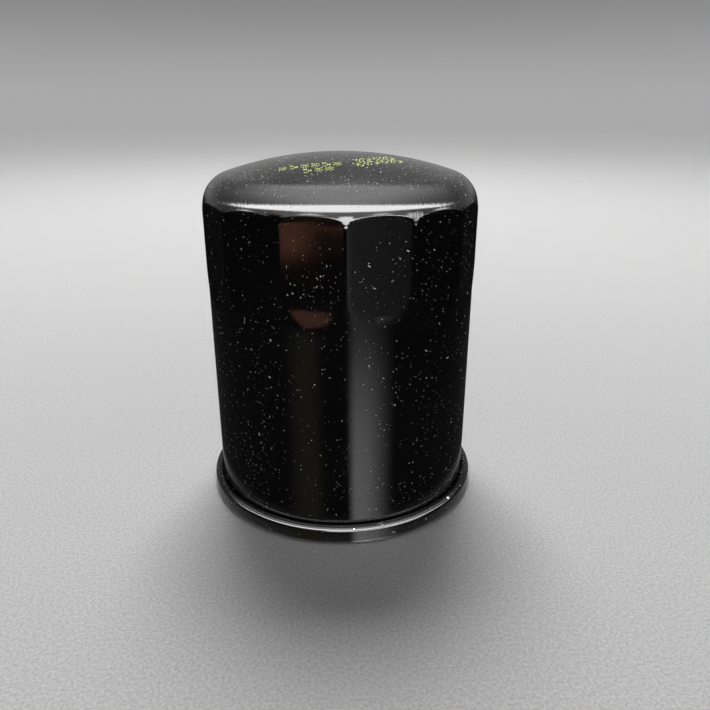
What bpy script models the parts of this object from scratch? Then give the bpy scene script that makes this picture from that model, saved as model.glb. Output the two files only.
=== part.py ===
"""Spin-on oil filter, modelled as its separate pieces. Metres, +Z up.

The origin is the centre of the gasket's sealing face, and +Z runs along the axis towards the dome.
"""

import math

import bmesh
import bpy
from mathutils import Matrix, Vector

MM = 0.001

# Overall
HEIGHT = 85.0 * MM
BODY_RADIUS = 32.5 * MM
SEAM_RADIUS = 34.65 * MM
CAN_WALL = 0.5 * MM
LID_WALL = 0.6 * MM
CROWN_RADIUS = 87.0 * MM
SHOULDER_RADIUS = 7.5 * MM

# Wrench flats pressed into the can under the shoulder
FLAT_COUNT = 14
RIDGE_RADIUS = 32.8 * MM
FLAT_FOOT = 51.5 * MM
FLAT_FOOT_RISE = 3.5 * MM
FLAT_RUNOUT = 3.0 * MM

# Double seam at the can's mouth
SEAM_BOTTOM = 0.5 * MM
SEAM_TOP = 4.3 * MM
LAYER_GAP = 0.15 * MM
CLEARANCE = 0.3 * MM
BODY_HOOK_TOP = 3.1 * MM
GASKET_ROOF = 5.35 * MM

# Gasket, tapping plate and anti-drain valve
GASKET_INNER = 27.0 * MM
GASKET_OUTER = 31.0 * MM
GASKET_HEIGHT = 5.2 * MM
PLATE_BOTTOM = 6.1 * MM
PLATE_TOP = 9.1 * MM
PLATE_RADIUS = 30.8 * MM
THREAD_MINOR_RADIUS = 9.19 * MM
THREAD_MAJOR_RADIUS = 10.0 * MM
COLLAR_RADIUS = 12.2 * MM
COLLAR_TOP = 13.1 * MM
INLET_COUNT = 8
INLET_RADIUS = 2.75 * MM
INLET_CIRCLE_RADIUS = 19.0 * MM
MEMBRANE_RADIUS = 24.6 * MM

# Filter element
CAP_WALL = 0.5 * MM
CAP_RADIUS = 29.4 * MM
CAP_RIM = 4.0 * MM
LOWER_CAP_BOTTOM = 13.6 * MM
CAP_STEP = 1.1 * MM
UPPER_CAP_TOP = 74.4 * MM
POTTING = 1.6 * MM
TUBE_INNER = 12.0 * MM
TUBE_OUTER = 12.5 * MM
TUBE_HOLE_RADIUS = 1.75 * MM
TUBE_HOLE_ROWS = 4
TUBE_HOLES_IN_ROW = 8
PLEATS = 40
PLEAT_INNER = 13.6 * MM
PLEAT_OUTER = 28.0 * MM
PAPER = 0.6 * MM

# Bypass valve and the spring that holds the element down
CAGE_INNER = 9.0 * MM
CAGE_WALL = 0.5 * MM
CAGE_BOTTOM = 62.0 * MM
CAGE_WINDOWS = 4
CAGE_FLANGE_RADIUS = 13.0 * MM
SEAT_HOLE_RADIUS = 5.0 * MM
SEAT_WALL = 0.7 * MM
BYPASS_SEAL = 1.3 * MM
BYPASS_DISC = 0.6 * MM
PIN_RADIUS = 1.5 * MM
SPRING_RADIUS = 6.2 * MM
SPRING_WIRE = 1.0 * MM
SPRING_TURNS = 4.5
LEAF_ARMS = 4
LEAF_WALL = 0.6 * MM
LEAF_WIDTH = 7.0 * MM

# Facets round the axis: a multiple of the flats, and of four so that the box is true
OUTER_FACETS = 56
INNER_FACETS = 28

FINISHES = {
    "black_paint": ((0.006, 0.006, 0.007), 0.16, 0.0),
    "nitrile": ((0.015, 0.015, 0.016), 0.55, 0.0),
    "compound": ((0.10, 0.11, 0.12), 0.6, 0.0),
    "zinc_steel": ((0.62, 0.63, 0.64), 0.35, 1.0),
    "valve_rubber": ((0.16, 0.035, 0.02), 0.55, 0.0),
    "tinplate": ((0.70, 0.70, 0.68), 0.3, 1.0),
    "plastisol": ((0.52, 0.16, 0.05), 0.5, 0.0),
    "paper": ((0.72, 0.58, 0.36), 0.85, 0.0),
    "spring_steel": ((0.36, 0.37, 0.39), 0.3, 1.0),
}


def clear_scene():
    for item in list(bpy.data.objects):
        bpy.data.objects.remove(item, do_unlink=True)


def finish(name):
    """The named Principled material, made at its first use."""
    found = bpy.data.materials.get(name)
    if found:
        return found
    colour, roughness, metallic = FINISHES[name]
    made = bpy.data.materials.new(name)
    made.use_nodes = True
    shader = made.node_tree.nodes["Principled BSDF"]
    shader.inputs["Base Color"].default_value = (*colour, 1.0)
    shader.inputs["Roughness"].default_value = roughness
    shader.inputs["Metallic"].default_value = metallic
    return made


def link(name, data, material):
    item = bpy.data.objects.new(name, data)
    data.materials.append(finish(material))
    bpy.context.scene.collection.objects.link(item)
    return item


def mesh_object(name, shape, material, smooth=True):
    """Closes a bmesh into a named object, with its faces pointing out."""
    bmesh.ops.remove_doubles(shape, verts=shape.verts, dist=1e-7)
    bmesh.ops.recalc_face_normals(shape, faces=shape.faces)
    data = bpy.data.meshes.new(name)
    shape.to_mesh(data)
    shape.free()
    if smooth:
        data.shade_smooth()
        data.set_sharp_from_angle(angle=math.radians(30))
    return link(name, data, material)


def spun(outline, facets):
    """A closed outline of (radius, height) points, turned once round the axis."""
    shape = bmesh.new()
    ring = [shape.verts.new((radius, 0.0, height)) for radius, height in outline]
    edges = [shape.edges.new((a, b)) for a, b in zip(ring, ring[1:] + ring[:1])]
    bmesh.ops.spin(
        shape,
        geom=ring + edges,
        cent=(0, 0, 0),
        axis=(0, 0, 1),
        angle=2 * math.pi,
        steps=facets,
    )
    bmesh.ops.remove_doubles(shape, verts=shape.verts, dist=1e-7)
    bmesh.ops.dissolve_degenerate(shape, edges=shape.edges, dist=1e-8)
    return shape


def turned(name, outline, facets, material):
    return mesh_object(name, spun(outline, facets), material)


def extruded(name, strips, bottom, top, material):
    """Flat faces given as lists of (x, y), joined edge to edge and raised from bottom to top."""
    shape = bmesh.new()
    for corners in strips:
        shape.faces.new([shape.verts.new((x, y, bottom)) for x, y in corners])
    bmesh.ops.remove_doubles(shape, verts=shape.verts, dist=1e-7)
    raised = bmesh.ops.extrude_face_region(shape, geom=list(shape.faces))
    points = [v for v in raised["geom"] if isinstance(v, bmesh.types.BMVert)]
    bmesh.ops.translate(shape, verts=points, vec=(0, 0, top - bottom))
    return mesh_object(name, shape, material, smooth=False)


def boolean(item, tool, operation):
    """A live Boolean whose tool is hidden from the build."""
    tool.hide_render = True
    tool.display_type = "WIRE"
    modifier = item.modifiers.new(tool.name, "BOOLEAN")
    modifier.operation = operation
    modifier.solver = "EXACT"
    modifier.object = tool


def polar(radius, angle, height=0.0):
    return Vector((radius * math.cos(angle), radius * math.sin(angle), height))


def arc(centre, radius, start, end, steps):
    """Points (radius, height) of an arc, from one angle to another in degrees."""
    points = []
    for step in range(steps + 1):
        angle = math.radians(start + (end - start) * step / steps)
        points.append((centre[0] + radius * math.cos(angle), centre[1] + radius * math.sin(angle)))
    return points


def smooth_step(value):
    value = min(1.0, max(0.0, value))
    return value * value * (3 - 2 * value)


# ---- can -------------------------------------------------------------------------------------

SHOULDER_AXIS = BODY_RADIUS - SHOULDER_RADIUS
CROWN_CENTRE = HEIGHT - CROWN_RADIUS
CROWN_TO_SHOULDER = CROWN_RADIUS - SHOULDER_RADIUS
SHOULDER_HEIGHT = CROWN_CENTRE + math.sqrt(CROWN_TO_SHOULDER**2 - SHOULDER_AXIS**2)
SHOULDER_END = 90 - math.degrees(math.asin(SHOULDER_AXIS / CROWN_TO_SHOULDER))


def crown(inset, shoulder_steps, crown_steps):
    """The dome's profile from the wall to the apex, moved inwards by inset."""
    shoulder = arc(
        (SHOULDER_AXIS, SHOULDER_HEIGHT), SHOULDER_RADIUS - inset, 0, SHOULDER_END, shoulder_steps
    )
    top = arc((0.0, CROWN_CENTRE), CROWN_RADIUS - inset, SHOULDER_END, 90, crown_steps)
    points = shoulder + top[1:]
    points[-1] = (0.0, HEIGHT - inset)
    return points


def press_flats(shape):
    """Moves the wall's points onto the wrench flats. A flat ends below in a round foot."""
    half_pitch = math.pi / FLAT_COUNT
    apothem = RIDGE_RADIUS * math.cos(half_pitch)
    for point in shape.verts:
        radius = point.co.xy.length
        height = point.co.z
        if radius < SHOULDER_AXIS or height < FLAT_FOOT - FLAT_RUNOUT:
            continue
        angle = math.atan2(point.co.y, point.co.x)
        off_centre = (angle + half_pitch) % (2 * half_pitch) - half_pitch
        inset = CAN_WALL if radius < BODY_RADIUS - CAN_WALL / 2 else 0.0
        share = min(1.0, abs(off_centre) / half_pitch)
        flat = apothem / math.cos(off_centre) - inset
        if height > SHOULDER_HEIGHT + MM / 10:
            slope = SHOULDER_RADIUS - math.hypot(radius - SHOULDER_AXIS, height - SHOULDER_HEIGHT)
            new_radius = min(radius, apothem / math.cos(off_centre) - slope)
        else:
            foot = FLAT_FOOT + FLAT_FOOT_RISE * (1 - math.sqrt(1 - share**2))
            pressed = smooth_step((height - foot) / FLAT_RUNOUT)
            new_radius = radius + (flat - radius) * pressed
        point.co.x *= new_radius / radius
        point.co.y *= new_radius / radius


def make_can():
    inner_radius = BODY_RADIUS - CAN_WALL
    fold_bottom = SEAM_BOTTOM + LID_WALL + LAYER_GAP
    fold_top = fold_bottom + CAN_WALL
    hook_inner = BODY_RADIUS + 2 * LAYER_GAP + LID_WALL
    hook_outer = hook_inner + CAN_WALL
    corner = 0.4 * MM
    foot_rows = [FLAT_FOOT + share * FLAT_FOOT_RISE for share in (-0.3, 0.4, 0.8, 1.3, 2.0)]
    wall_rows = [*foot_rows, SHOULDER_HEIGHT - MM]
    outline = [(hook_outer, BODY_HOOK_TOP), (hook_outer, fold_bottom + corner)]
    outline += [(hook_outer - corner, fold_bottom), (inner_radius + corner, fold_bottom)]
    outline += [(inner_radius, fold_bottom + corner)]
    outline += [(inner_radius, height) for height in wall_rows]
    outline += crown(CAN_WALL, 4, 2)
    outline += list(reversed(crown(0.0, 5, 4)))
    outline += [(BODY_RADIUS, height) for height in reversed(wall_rows)]
    outline += [(BODY_RADIUS, fold_top), (hook_inner, fold_top), (hook_inner, BODY_HOOK_TOP)]
    shape = spun(outline, OUTER_FACETS)
    press_flats(shape)
    return mesh_object("can", shape, "black_paint")


# ---- mouth: seaming lid, compound, gasket, tapping plate ---------------------------------------

LID_CHUCK_OUTER = BODY_RADIUS - CAN_WALL - LAYER_GAP
LID_CHUCK_INNER = LID_CHUCK_OUTER - LID_WALL
LID_LIP_OUTER = GASKET_INNER - CLEARANCE
LID_LIP_INNER = LID_LIP_OUTER - LID_WALL
LID_LIP_BOTTOM = 2.6 * MM


def make_seaming_lid():
    """The seam's outer wall, its curl over the can's hook, the chuck wall and the gasket's channel."""
    wall_inner = SEAM_RADIUS - LID_WALL
    floor_top = SEAM_BOTTOM + LID_WALL
    curl_under = SEAM_TOP - LID_WALL
    hook_inner = BODY_RADIUS + LAYER_GAP
    hook_outer = hook_inner + LID_WALL
    hook_bottom = floor_top + 2 * LAYER_GAP + CAN_WALL
    bend = 0.9 * MM
    low_bend = 0.5 * MM
    roof_top = GASKET_ROOF + LID_WALL
    outline = arc((SEAM_RADIUS - bend, SEAM_TOP - bend), bend, 0, 90, 3)
    outline += arc((hook_inner + LID_WALL, SEAM_TOP - LID_WALL), LID_WALL, 90, 180, 2)
    outline += [(hook_inner, hook_bottom), (hook_outer, hook_bottom), (hook_outer, curl_under)]
    outline += [(wall_inner, curl_under), (wall_inner, floor_top), (LID_CHUCK_OUTER, floor_top)]
    outline += [(LID_CHUCK_OUTER, roof_top), (LID_LIP_INNER, roof_top)]
    outline += [(LID_LIP_INNER, LID_LIP_BOTTOM), (LID_LIP_OUTER, LID_LIP_BOTTOM)]
    outline += [(LID_LIP_OUTER, GASKET_ROOF), (LID_CHUCK_INNER, GASKET_ROOF)]
    outline += arc((LID_CHUCK_INNER + low_bend, SEAM_BOTTOM + low_bend), low_bend, 180, 270, 2)
    outline += arc((SEAM_RADIUS - low_bend, SEAM_BOTTOM + low_bend), low_bend, 270, 360, 3)
    return turned("seaming_lid", outline, OUTER_FACETS, "black_paint")


def make_seam_compound():
    inner = BODY_RADIUS + 2 * LAYER_GAP + LID_WALL
    outer = inner + CAN_WALL
    bottom = BODY_HOOK_TOP + 0.1 * MM
    top = SEAM_TOP - LID_WALL - 0.1 * MM
    outline = [(outer, top), (inner, top), (inner, bottom), (outer, bottom)]
    return turned("seam_compound", outline, OUTER_FACETS, "compound")


def make_gasket():
    edge = 0.6 * MM
    outline = [(GASKET_OUTER, GASKET_HEIGHT), (GASKET_INNER, GASKET_HEIGHT)]
    outline += [(GASKET_INNER, edge), (GASKET_INNER + edge, 0.0)]
    outline += [(GASKET_OUTER - edge, 0.0), (GASKET_OUTER, edge)]
    return turned("sealing_gasket", outline, OUTER_FACETS, "nitrile")


def make_tapping_plate():
    lead_in = THREAD_MAJOR_RADIUS + 0.4 * MM
    lead_depth = lead_in - THREAD_MINOR_RADIUS
    root = 1.0 * MM
    outline = [(PLATE_RADIUS, PLATE_TOP), (COLLAR_RADIUS + root, PLATE_TOP)]
    outline += [(COLLAR_RADIUS, PLATE_TOP + root), (COLLAR_RADIUS, COLLAR_TOP)]
    outline += [(THREAD_MINOR_RADIUS, COLLAR_TOP), (THREAD_MINOR_RADIUS, PLATE_BOTTOM + lead_depth)]
    outline += [(lead_in, PLATE_BOTTOM), (PLATE_RADIUS, PLATE_BOTTOM)]
    plate = turned("tapping_plate", outline, INNER_FACETS, "zinc_steel")
    drill = bmesh.new()
    for number in range(INLET_COUNT):
        place = polar(INLET_CIRCLE_RADIUS, 2 * math.pi * number / INLET_COUNT)
        place.z = (PLATE_BOTTOM + PLATE_TOP) / 2
        bmesh.ops.create_cone(
            drill,
            cap_ends=True,
            segments=12,
            radius1=INLET_RADIUS,
            radius2=INLET_RADIUS,
            depth=10 * MM,
            matrix=Matrix.Translation(place),
        )
    boolean(plate, mesh_object("inlet_drill", drill, "zinc_steel"), "DIFFERENCE")
    return plate


def make_anti_drain_valve():
    """A rubber membrane: a neck that slides on the collar, and a thin lip over the inlets."""
    neck_inner = COLLAR_RADIUS + CLEARANCE
    neck_outer = neck_inner + 1.5 * MM
    lip = 0.9 * MM
    rest = PLATE_TOP + LAYER_GAP
    outline = [(MEMBRANE_RADIUS, rest + lip), (neck_outer, rest + 2.1 * MM)]
    outline += [(neck_outer, rest + 2.85 * MM), (neck_inner, rest + 2.85 * MM)]
    outline += [(neck_inner, rest + 1.2 * MM), (neck_outer, rest + 1.0 * MM)]
    outline += [(MEMBRANE_RADIUS - 2 * MM, rest), (MEMBRANE_RADIUS, rest)]
    return turned("anti_drain_valve", outline, INNER_FACETS, "valve_rubber")


# ---- element -----------------------------------------------------------------------------------

LOWER_FLANGE_BOTTOM = LOWER_CAP_BOTTOM + CAP_STEP
LOWER_FLANGE_TOP = LOWER_FLANGE_BOTTOM + CAP_WALL
STEP_INNER = TUBE_OUTER + 3 * CLEARANCE
STEP_OUTER = STEP_INNER + CAP_WALL
RIM_INNER = CAP_RADIUS - CAP_WALL
POTTING_RADIUS = RIM_INNER - CLEARANCE
LOWER_POTTING_BOTTOM = LOWER_CAP_BOTTOM + CAP_WALL + CLEARANCE
UPPER_POTTING_TOP = UPPER_CAP_TOP - CAP_WALL - CLEARANCE
PAPER_BOTTOM = LOWER_POTTING_BOTTOM + POTTING + CLEARANCE
PAPER_TOP = UPPER_POTTING_TOP - POTTING - CLEARANCE


def make_element_seal():
    """The ring between the collar's rim and the lower end cap."""
    bottom = COLLAR_TOP + LAYER_GAP
    top = LOWER_FLANGE_BOTTOM - LAYER_GAP
    inner = THREAD_MAJOR_RADIUS
    outline = [(COLLAR_RADIUS, top), (inner, top), (inner, bottom), (COLLAR_RADIUS, bottom)]
    return turned("element_seal_ring", outline, INNER_FACETS, "nitrile")


def make_lower_end_cap():
    bottom = LOWER_CAP_BOTTOM
    top = bottom + CAP_WALL
    inner = THREAD_MAJOR_RADIUS + 0.6 * MM
    outline = [(CAP_RADIUS, bottom + CAP_RIM), (RIM_INNER, bottom + CAP_RIM), (RIM_INNER, top)]
    outline += [(STEP_OUTER, top), (STEP_OUTER, LOWER_FLANGE_TOP), (inner, LOWER_FLANGE_TOP)]
    outline += [(inner, LOWER_FLANGE_BOTTOM), (STEP_INNER, LOWER_FLANGE_BOTTOM)]
    outline += [(STEP_INNER, bottom), (CAP_RADIUS, bottom)]
    return turned("lower_end_cap", outline, INNER_FACETS, "tinplate")


def make_upper_end_cap():
    top = UPPER_CAP_TOP
    bottom = top - CAP_WALL
    inner = CAGE_INNER + 2 * CAGE_WALL
    outline = [(CAP_RADIUS, top), (inner, top), (inner, bottom), (RIM_INNER, bottom)]
    outline += [(RIM_INNER, top - CAP_RIM), (CAP_RADIUS, top - CAP_RIM)]
    return turned("upper_end_cap", outline, INNER_FACETS, "tinplate")


def make_potting(name, inner, bottom):
    top = bottom + POTTING
    outline = [(POTTING_RADIUS, top), (inner, top), (inner, bottom), (POTTING_RADIUS, bottom)]
    return turned(name, outline, INNER_FACETS, "plastisol")


def pleat_line():
    """The folded paper's centre line in plan, from one end leg round to the other."""
    fold_half_width = 0.45 * MM
    end_half_gap = 0.6 * MM
    pitch = 2 * math.pi / PLEATS
    points = [Vector((PLEAT_OUTER, end_half_gap))]
    for number in range(PLEATS):
        for radius, angle in ((PLEAT_INNER, (number + 0.5) * pitch), (PLEAT_OUTER, (number + 1) * pitch)):
            if number == PLEATS - 1 and radius == PLEAT_OUTER:
                continue
            along = Vector((-math.sin(angle), math.cos(angle)))
            middle = Vector((radius * math.cos(angle), radius * math.sin(angle)))
            points += [middle - along * fold_half_width, middle + along * fold_half_width]
    points.append(Vector((PLEAT_OUTER, -end_half_gap)))
    return points


def offset_line(points, distance):
    """The line moved sideways, mitred at its corners."""
    normals = []
    for a, b in zip(points, points[1:]):
        way = (b - a).normalized()
        normals.append(Vector((-way.y, way.x)))
    moved = [points[0] + normals[0] * distance]
    for point, before, after in zip(points[1:-1], normals, normals[1:]):
        mitre = (before + after).normalized()
        moved.append(point + mitre * distance / mitre.dot(after))
    moved.append(points[-1] + normals[-1] * distance)
    return moved


def make_media():
    line = pleat_line()
    left = offset_line(line, PAPER / 2)
    right = offset_line(line, -PAPER / 2)
    strips = [
        [right[n], right[n + 1], left[n + 1], left[n]] for n in range(len(line) - 1)
    ]
    return extruded("pleated_media", strips, PAPER_BOTTOM, PAPER_TOP, "paper")


def make_media_clip():
    """A folded strip that grips the paper's two end legs along their height."""
    wall = 0.3 * MM
    half_gap = 1.45 * MM
    back_inner = PLEAT_OUTER + CLEARANCE / 2
    front = PLEAT_OUTER - 1.6 * MM
    half = half_gap + wall
    back = back_inner + wall
    strips = [
        [(front, half_gap), (back_inner, half_gap), (back_inner, half), (front, half)],
        [(back_inner, -half_gap), (back, -half_gap), (back, half_gap), (back_inner, half_gap)],
        [(back_inner, half_gap), (back, half_gap), (back, half), (back_inner, half)],
        [(back_inner, -half), (back, -half), (back, -half_gap), (back_inner, -half_gap)],
        [(front, -half), (back_inner, -half), (back_inner, -half_gap), (front, -half_gap)],
    ]
    return extruded("media_seam_clip", strips, PAPER_BOTTOM, PAPER_TOP, "tinplate")


def make_centre_tube():
    bottom = LOWER_FLANGE_TOP + CLEARANCE
    top = UPPER_CAP_TOP - CAP_WALL - CLEARANCE
    outline = [(TUBE_OUTER, top), (TUBE_INNER, top), (TUBE_INNER, bottom), (TUBE_OUTER, bottom)]
    tube = turned("centre_tube", outline, INNER_FACETS, "tinplate")
    punch = bmesh.new()
    spacing = (top - bottom) / (TUBE_HOLE_ROWS + 1)
    for row in range(TUBE_HOLE_ROWS):
        for number in range(TUBE_HOLES_IN_ROW):
            angle = 2 * math.pi * (number + 0.5 * (row % 2)) / TUBE_HOLES_IN_ROW + 0.05
            place = Matrix.Translation(polar(TUBE_INNER, angle, bottom + spacing * (row + 1)))
            turn = Matrix.Rotation(angle, 4, "Z") @ Matrix.Rotation(math.pi / 2, 4, "Y")
            bmesh.ops.create_cone(
                punch,
                cap_ends=True,
                segments=6,
                radius1=TUBE_HOLE_RADIUS,
                radius2=TUBE_HOLE_RADIUS,
                depth=4 * MM,
                matrix=place @ turn,
            )
    boolean(tube, mesh_object("tube_punch", punch, "tinplate"), "DIFFERENCE")
    return tube


# ---- bypass valve ------------------------------------------------------------------------------

CAGE_FLANGE_BOTTOM = UPPER_CAP_TOP + CLEARANCE
CAGE_FLANGE_TOP = CAGE_FLANGE_BOTTOM + CAGE_WALL
SEAT_BOTTOM = CAGE_FLANGE_TOP + CLEARANCE
SEAT_TOP = SEAT_BOTTOM + SEAT_WALL
SEAL_TOP = SEAT_BOTTOM - CLEARANCE
SEAL_BOTTOM = SEAL_TOP - BYPASS_SEAL
DISC_TOP = SEAL_BOTTOM - CLEARANCE
DISC_BOTTOM = DISC_TOP - BYPASS_DISC
PIN_HOLE = PIN_RADIUS + 0.4 * MM


def make_bypass_cage():
    outer = CAGE_INNER + CAGE_WALL
    floor_top = CAGE_BOTTOM + 0.6 * MM
    outline = [(CAGE_FLANGE_RADIUS, CAGE_FLANGE_TOP), (CAGE_INNER, CAGE_FLANGE_TOP)]
    outline += [(CAGE_INNER, floor_top), (PIN_HOLE, floor_top), (PIN_HOLE, CAGE_BOTTOM)]
    outline += [(outer, CAGE_BOTTOM), (outer, CAGE_FLANGE_BOTTOM)]
    outline += [(CAGE_FLANGE_RADIUS, CAGE_FLANGE_BOTTOM)]
    cage = turned("bypass_cage", outline, INNER_FACETS, "tinplate")
    punch = bmesh.new()
    window = Vector((6 * MM, 5.5 * MM, 6 * MM))
    for number in range(CAGE_WINDOWS):
        angle = 2 * math.pi * (number + 0.5) / CAGE_WINDOWS
        place = Matrix.Translation(polar(outer, angle, CAGE_BOTTOM + 6.5 * MM))
        size = Matrix.Diagonal((*window, 1.0))
        bmesh.ops.create_cube(punch, size=1.0, matrix=place @ Matrix.Rotation(angle, 4, "Z") @ size)
    boolean(cage, mesh_object("window_punch", punch, "tinplate", smooth=False), "DIFFERENCE")
    return cage


def make_bypass_seat_plate():
    """The valve's seat, with its rim crimped over the cage's flange."""
    rim_inner = CAGE_FLANGE_RADIUS + CLEARANCE
    rim_outer = rim_inner + SEAT_WALL
    rim_bottom = UPPER_CAP_TOP + CLEARANCE
    outline = [(rim_outer, SEAT_TOP - CLEARANCE), (rim_outer - CLEARANCE, SEAT_TOP)]
    outline += [(SEAT_HOLE_RADIUS, SEAT_TOP), (SEAT_HOLE_RADIUS, SEAT_BOTTOM)]
    outline += [(rim_inner, SEAT_BOTTOM), (rim_inner, rim_bottom), (rim_outer, rim_bottom)]
    return turned("bypass_seat_plate", outline, INNER_FACETS, "tinplate")


def make_washer(name, outer, bottom, top, material):
    outline = [(outer, top), (PIN_HOLE, top), (PIN_HOLE, bottom), (outer, bottom)]
    return turned(name, outline, INNER_FACETS, material)


def make_guide_pin():
    """A rivet: its head over the seal, a shoulder under the disc, and a rod through the cage."""
    head = 3.2 * MM
    head_top = SEAT_BOTTOM + 0.6 * MM
    head_bottom = SEAL_TOP + LAYER_GAP
    shoulder = 3.0 * MM
    shoulder_top = DISC_BOTTOM - CLEARANCE
    shoulder_bottom = shoulder_top - 0.6 * MM
    tip = CAGE_BOTTOM - 1.6 * MM
    outline = [(0.0, tip), (PIN_RADIUS - CLEARANCE, tip), (PIN_RADIUS, tip + CLEARANCE)]
    outline += [(PIN_RADIUS, shoulder_bottom), (shoulder, shoulder_bottom)]
    outline += [(shoulder, shoulder_top), (PIN_RADIUS, shoulder_top), (PIN_RADIUS, head_bottom)]
    outline += [(head, head_bottom), (head, head_top - CLEARANCE), (head - CLEARANCE, head_top)]
    outline += [(0.0, head_top)]
    return turned("bypass_guide_pin", outline, 14, "zinc_steel")


def make_bypass_spring():
    """An open coil between the cage's floor and the disc, with its end turns wound flatter."""
    bottom = CAGE_BOTTOM + 0.6 * MM + CLEARANCE + SPRING_WIRE / 2
    top = DISC_BOTTOM - CLEARANCE - SPRING_WIRE / 2
    per_turn = 14
    count = int(SPRING_TURNS * per_turn) + 1
    curve = bpy.data.curves.new("bypass_spring", "CURVE")
    curve.dimensions = "3D"
    curve.bevel_depth = SPRING_WIRE / 2
    curve.bevel_resolution = 1
    curve.use_fill_caps = True
    spline = curve.splines.new("POLY")
    spline.points.add(count - 1)
    even_share = 0.75
    for number in range(count):
        along = number / (count - 1)
        height = bottom + (top - bottom) * (even_share * along + (1 - even_share) * smooth_step(along))
        place = polar(SPRING_RADIUS, 2 * math.pi * SPRING_TURNS * along, height)
        spline.points[number].co = (*place, 1.0)
    return link("bypass_spring", curve, "spring_steel")


def make_support_spring():
    """A stamped spring: a ring on the seat plate, and arms that press against the dome."""
    bottom = SEAT_TOP + CLEARANCE
    top = bottom + LEAF_WALL
    inner = 7.0 * MM
    outer = 12.8 * MM
    outline = [(outer, top), (inner, top), (inner, bottom), (outer, bottom)]
    spring = turned("support_spring", outline, INNER_FACETS, "spring_steel")
    path = [(10.5 * MM, bottom), (14.0 * MM, bottom + 0.5 * MM), (17.5 * MM, bottom + 2.6 * MM)]
    path += [(20.2 * MM, bottom + 4.0 * MM), (21.6 * MM, bottom + 4.0 * MM), (22.8 * MM, bottom + 3.1 * MM)]
    for number in range(LEAF_ARMS):
        turn = Matrix.Rotation(2 * math.pi * number / LEAF_ARMS, 3, "Z")
        arm = bmesh.new()
        rows = []
        for radius, height in path:
            narrow = LEAF_WIDTH / 2 * (1 - 0.25 * (radius - path[0][0]) / (path[-1][0] - path[0][0]))
            corners = [(narrow, 0), (narrow, LEAF_WALL), (-narrow, LEAF_WALL), (-narrow, 0)]
            rows.append(
                [arm.verts.new(turn @ Vector((radius, side, height + lift))) for side, lift in corners]
            )
        for row, after in zip(rows, rows[1:]):
            for n in range(4):
                arm.faces.new((row[n], row[n - 1], after[n - 1], after[n]))
        arm.faces.new(rows[0])
        arm.faces.new(list(reversed(rows[-1])))
        boolean(spring, mesh_object(f"leaf_arm_{number + 1}", arm, "spring_steel", False), "UNION")
    return spring


# ---- assembly ----------------------------------------------------------------------------------


def ride_on_axis(name, height, pieces):
    """Parents the pieces of one moving body to an empty on its slide's axis."""
    axis = bpy.data.objects.new(name, None)
    axis.location = (0.0, 0.0, height)
    axis.empty_display_size = 5 * MM
    bpy.context.scene.collection.objects.link(axis)
    bpy.context.view_layer.update()
    for piece in pieces:
        piece.parent = axis
        piece.matrix_parent_inverse = axis.matrix_world.inverted()


def main():
    clear_scene()
    make_can()
    make_seaming_lid()
    make_seam_compound()
    make_gasket()
    make_tapping_plate()
    membrane = make_anti_drain_valve()
    make_element_seal()
    make_lower_end_cap()
    make_potting("lower_potting_ring", STEP_OUTER + CLEARANCE, LOWER_POTTING_BOTTOM)
    make_media()
    make_media_clip()
    make_centre_tube()
    make_potting("upper_potting_ring", TUBE_OUTER + CLEARANCE, UPPER_POTTING_TOP - POTTING)
    make_upper_end_cap()
    make_bypass_cage()
    make_bypass_seat_plate()
    seal = make_washer("bypass_seal", 7.6 * MM, SEAL_BOTTOM, SEAL_TOP, "nitrile")
    disc = make_washer("bypass_disc", 8.2 * MM, DISC_BOTTOM, DISC_TOP, "zinc_steel")
    pin = make_guide_pin()
    make_bypass_spring()
    make_support_spring()
    ride_on_axis("bypass_slide_axis", SEAT_BOTTOM, [seal, disc, pin])
    ride_on_axis("anti_drain_slide_axis", PLATE_TOP, [membrane])


main()
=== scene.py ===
"""Finishes and detailed pieces of a spin-on oil filter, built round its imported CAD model.

Every length is in metres. The filter stands on its gasket at z = 0, and its axis is +Z.
"""

import logging
import math
import random
from collections.abc import Callable, Sequence
from dataclasses import dataclass, field
from enum import Enum
from typing import Any

import bmesh
import bpy
from mathutils import Matrix, Vector


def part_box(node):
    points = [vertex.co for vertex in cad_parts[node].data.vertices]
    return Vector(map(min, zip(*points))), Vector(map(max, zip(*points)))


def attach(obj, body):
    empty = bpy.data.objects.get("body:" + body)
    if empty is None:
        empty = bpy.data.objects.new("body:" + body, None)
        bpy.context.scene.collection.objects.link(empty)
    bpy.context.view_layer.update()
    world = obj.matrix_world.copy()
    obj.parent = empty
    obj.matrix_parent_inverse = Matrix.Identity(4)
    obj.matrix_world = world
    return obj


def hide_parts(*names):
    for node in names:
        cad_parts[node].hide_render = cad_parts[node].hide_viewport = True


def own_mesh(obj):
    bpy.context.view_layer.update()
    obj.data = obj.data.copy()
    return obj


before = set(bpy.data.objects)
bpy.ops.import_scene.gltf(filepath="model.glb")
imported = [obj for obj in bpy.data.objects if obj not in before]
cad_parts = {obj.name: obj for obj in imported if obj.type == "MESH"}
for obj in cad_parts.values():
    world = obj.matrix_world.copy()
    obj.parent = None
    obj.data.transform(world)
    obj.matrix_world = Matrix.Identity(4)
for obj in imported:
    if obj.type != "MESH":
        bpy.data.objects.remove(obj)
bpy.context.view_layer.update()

MM = 0.001
FULL_TURN = 2 * math.pi
DEGREES = 180.0 / math.pi
WELD = 1e-6

Ring = tuple[float, float]
Triple = tuple[float, float, float]
Colour = tuple[float, float, float, float]
Band = tuple[float, float, float, float]
Object = bpy.types.Object
Socket = bpy.types.NodeSocket

log = logging.getLogger("oil_filter")


class Sides(Enum):
    """How many sides a turned piece has round the axis."""

    CAN = 336
    SEAM = 280
    WIDE = 168
    MIDDLE = 96
    ROD = 40


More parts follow.
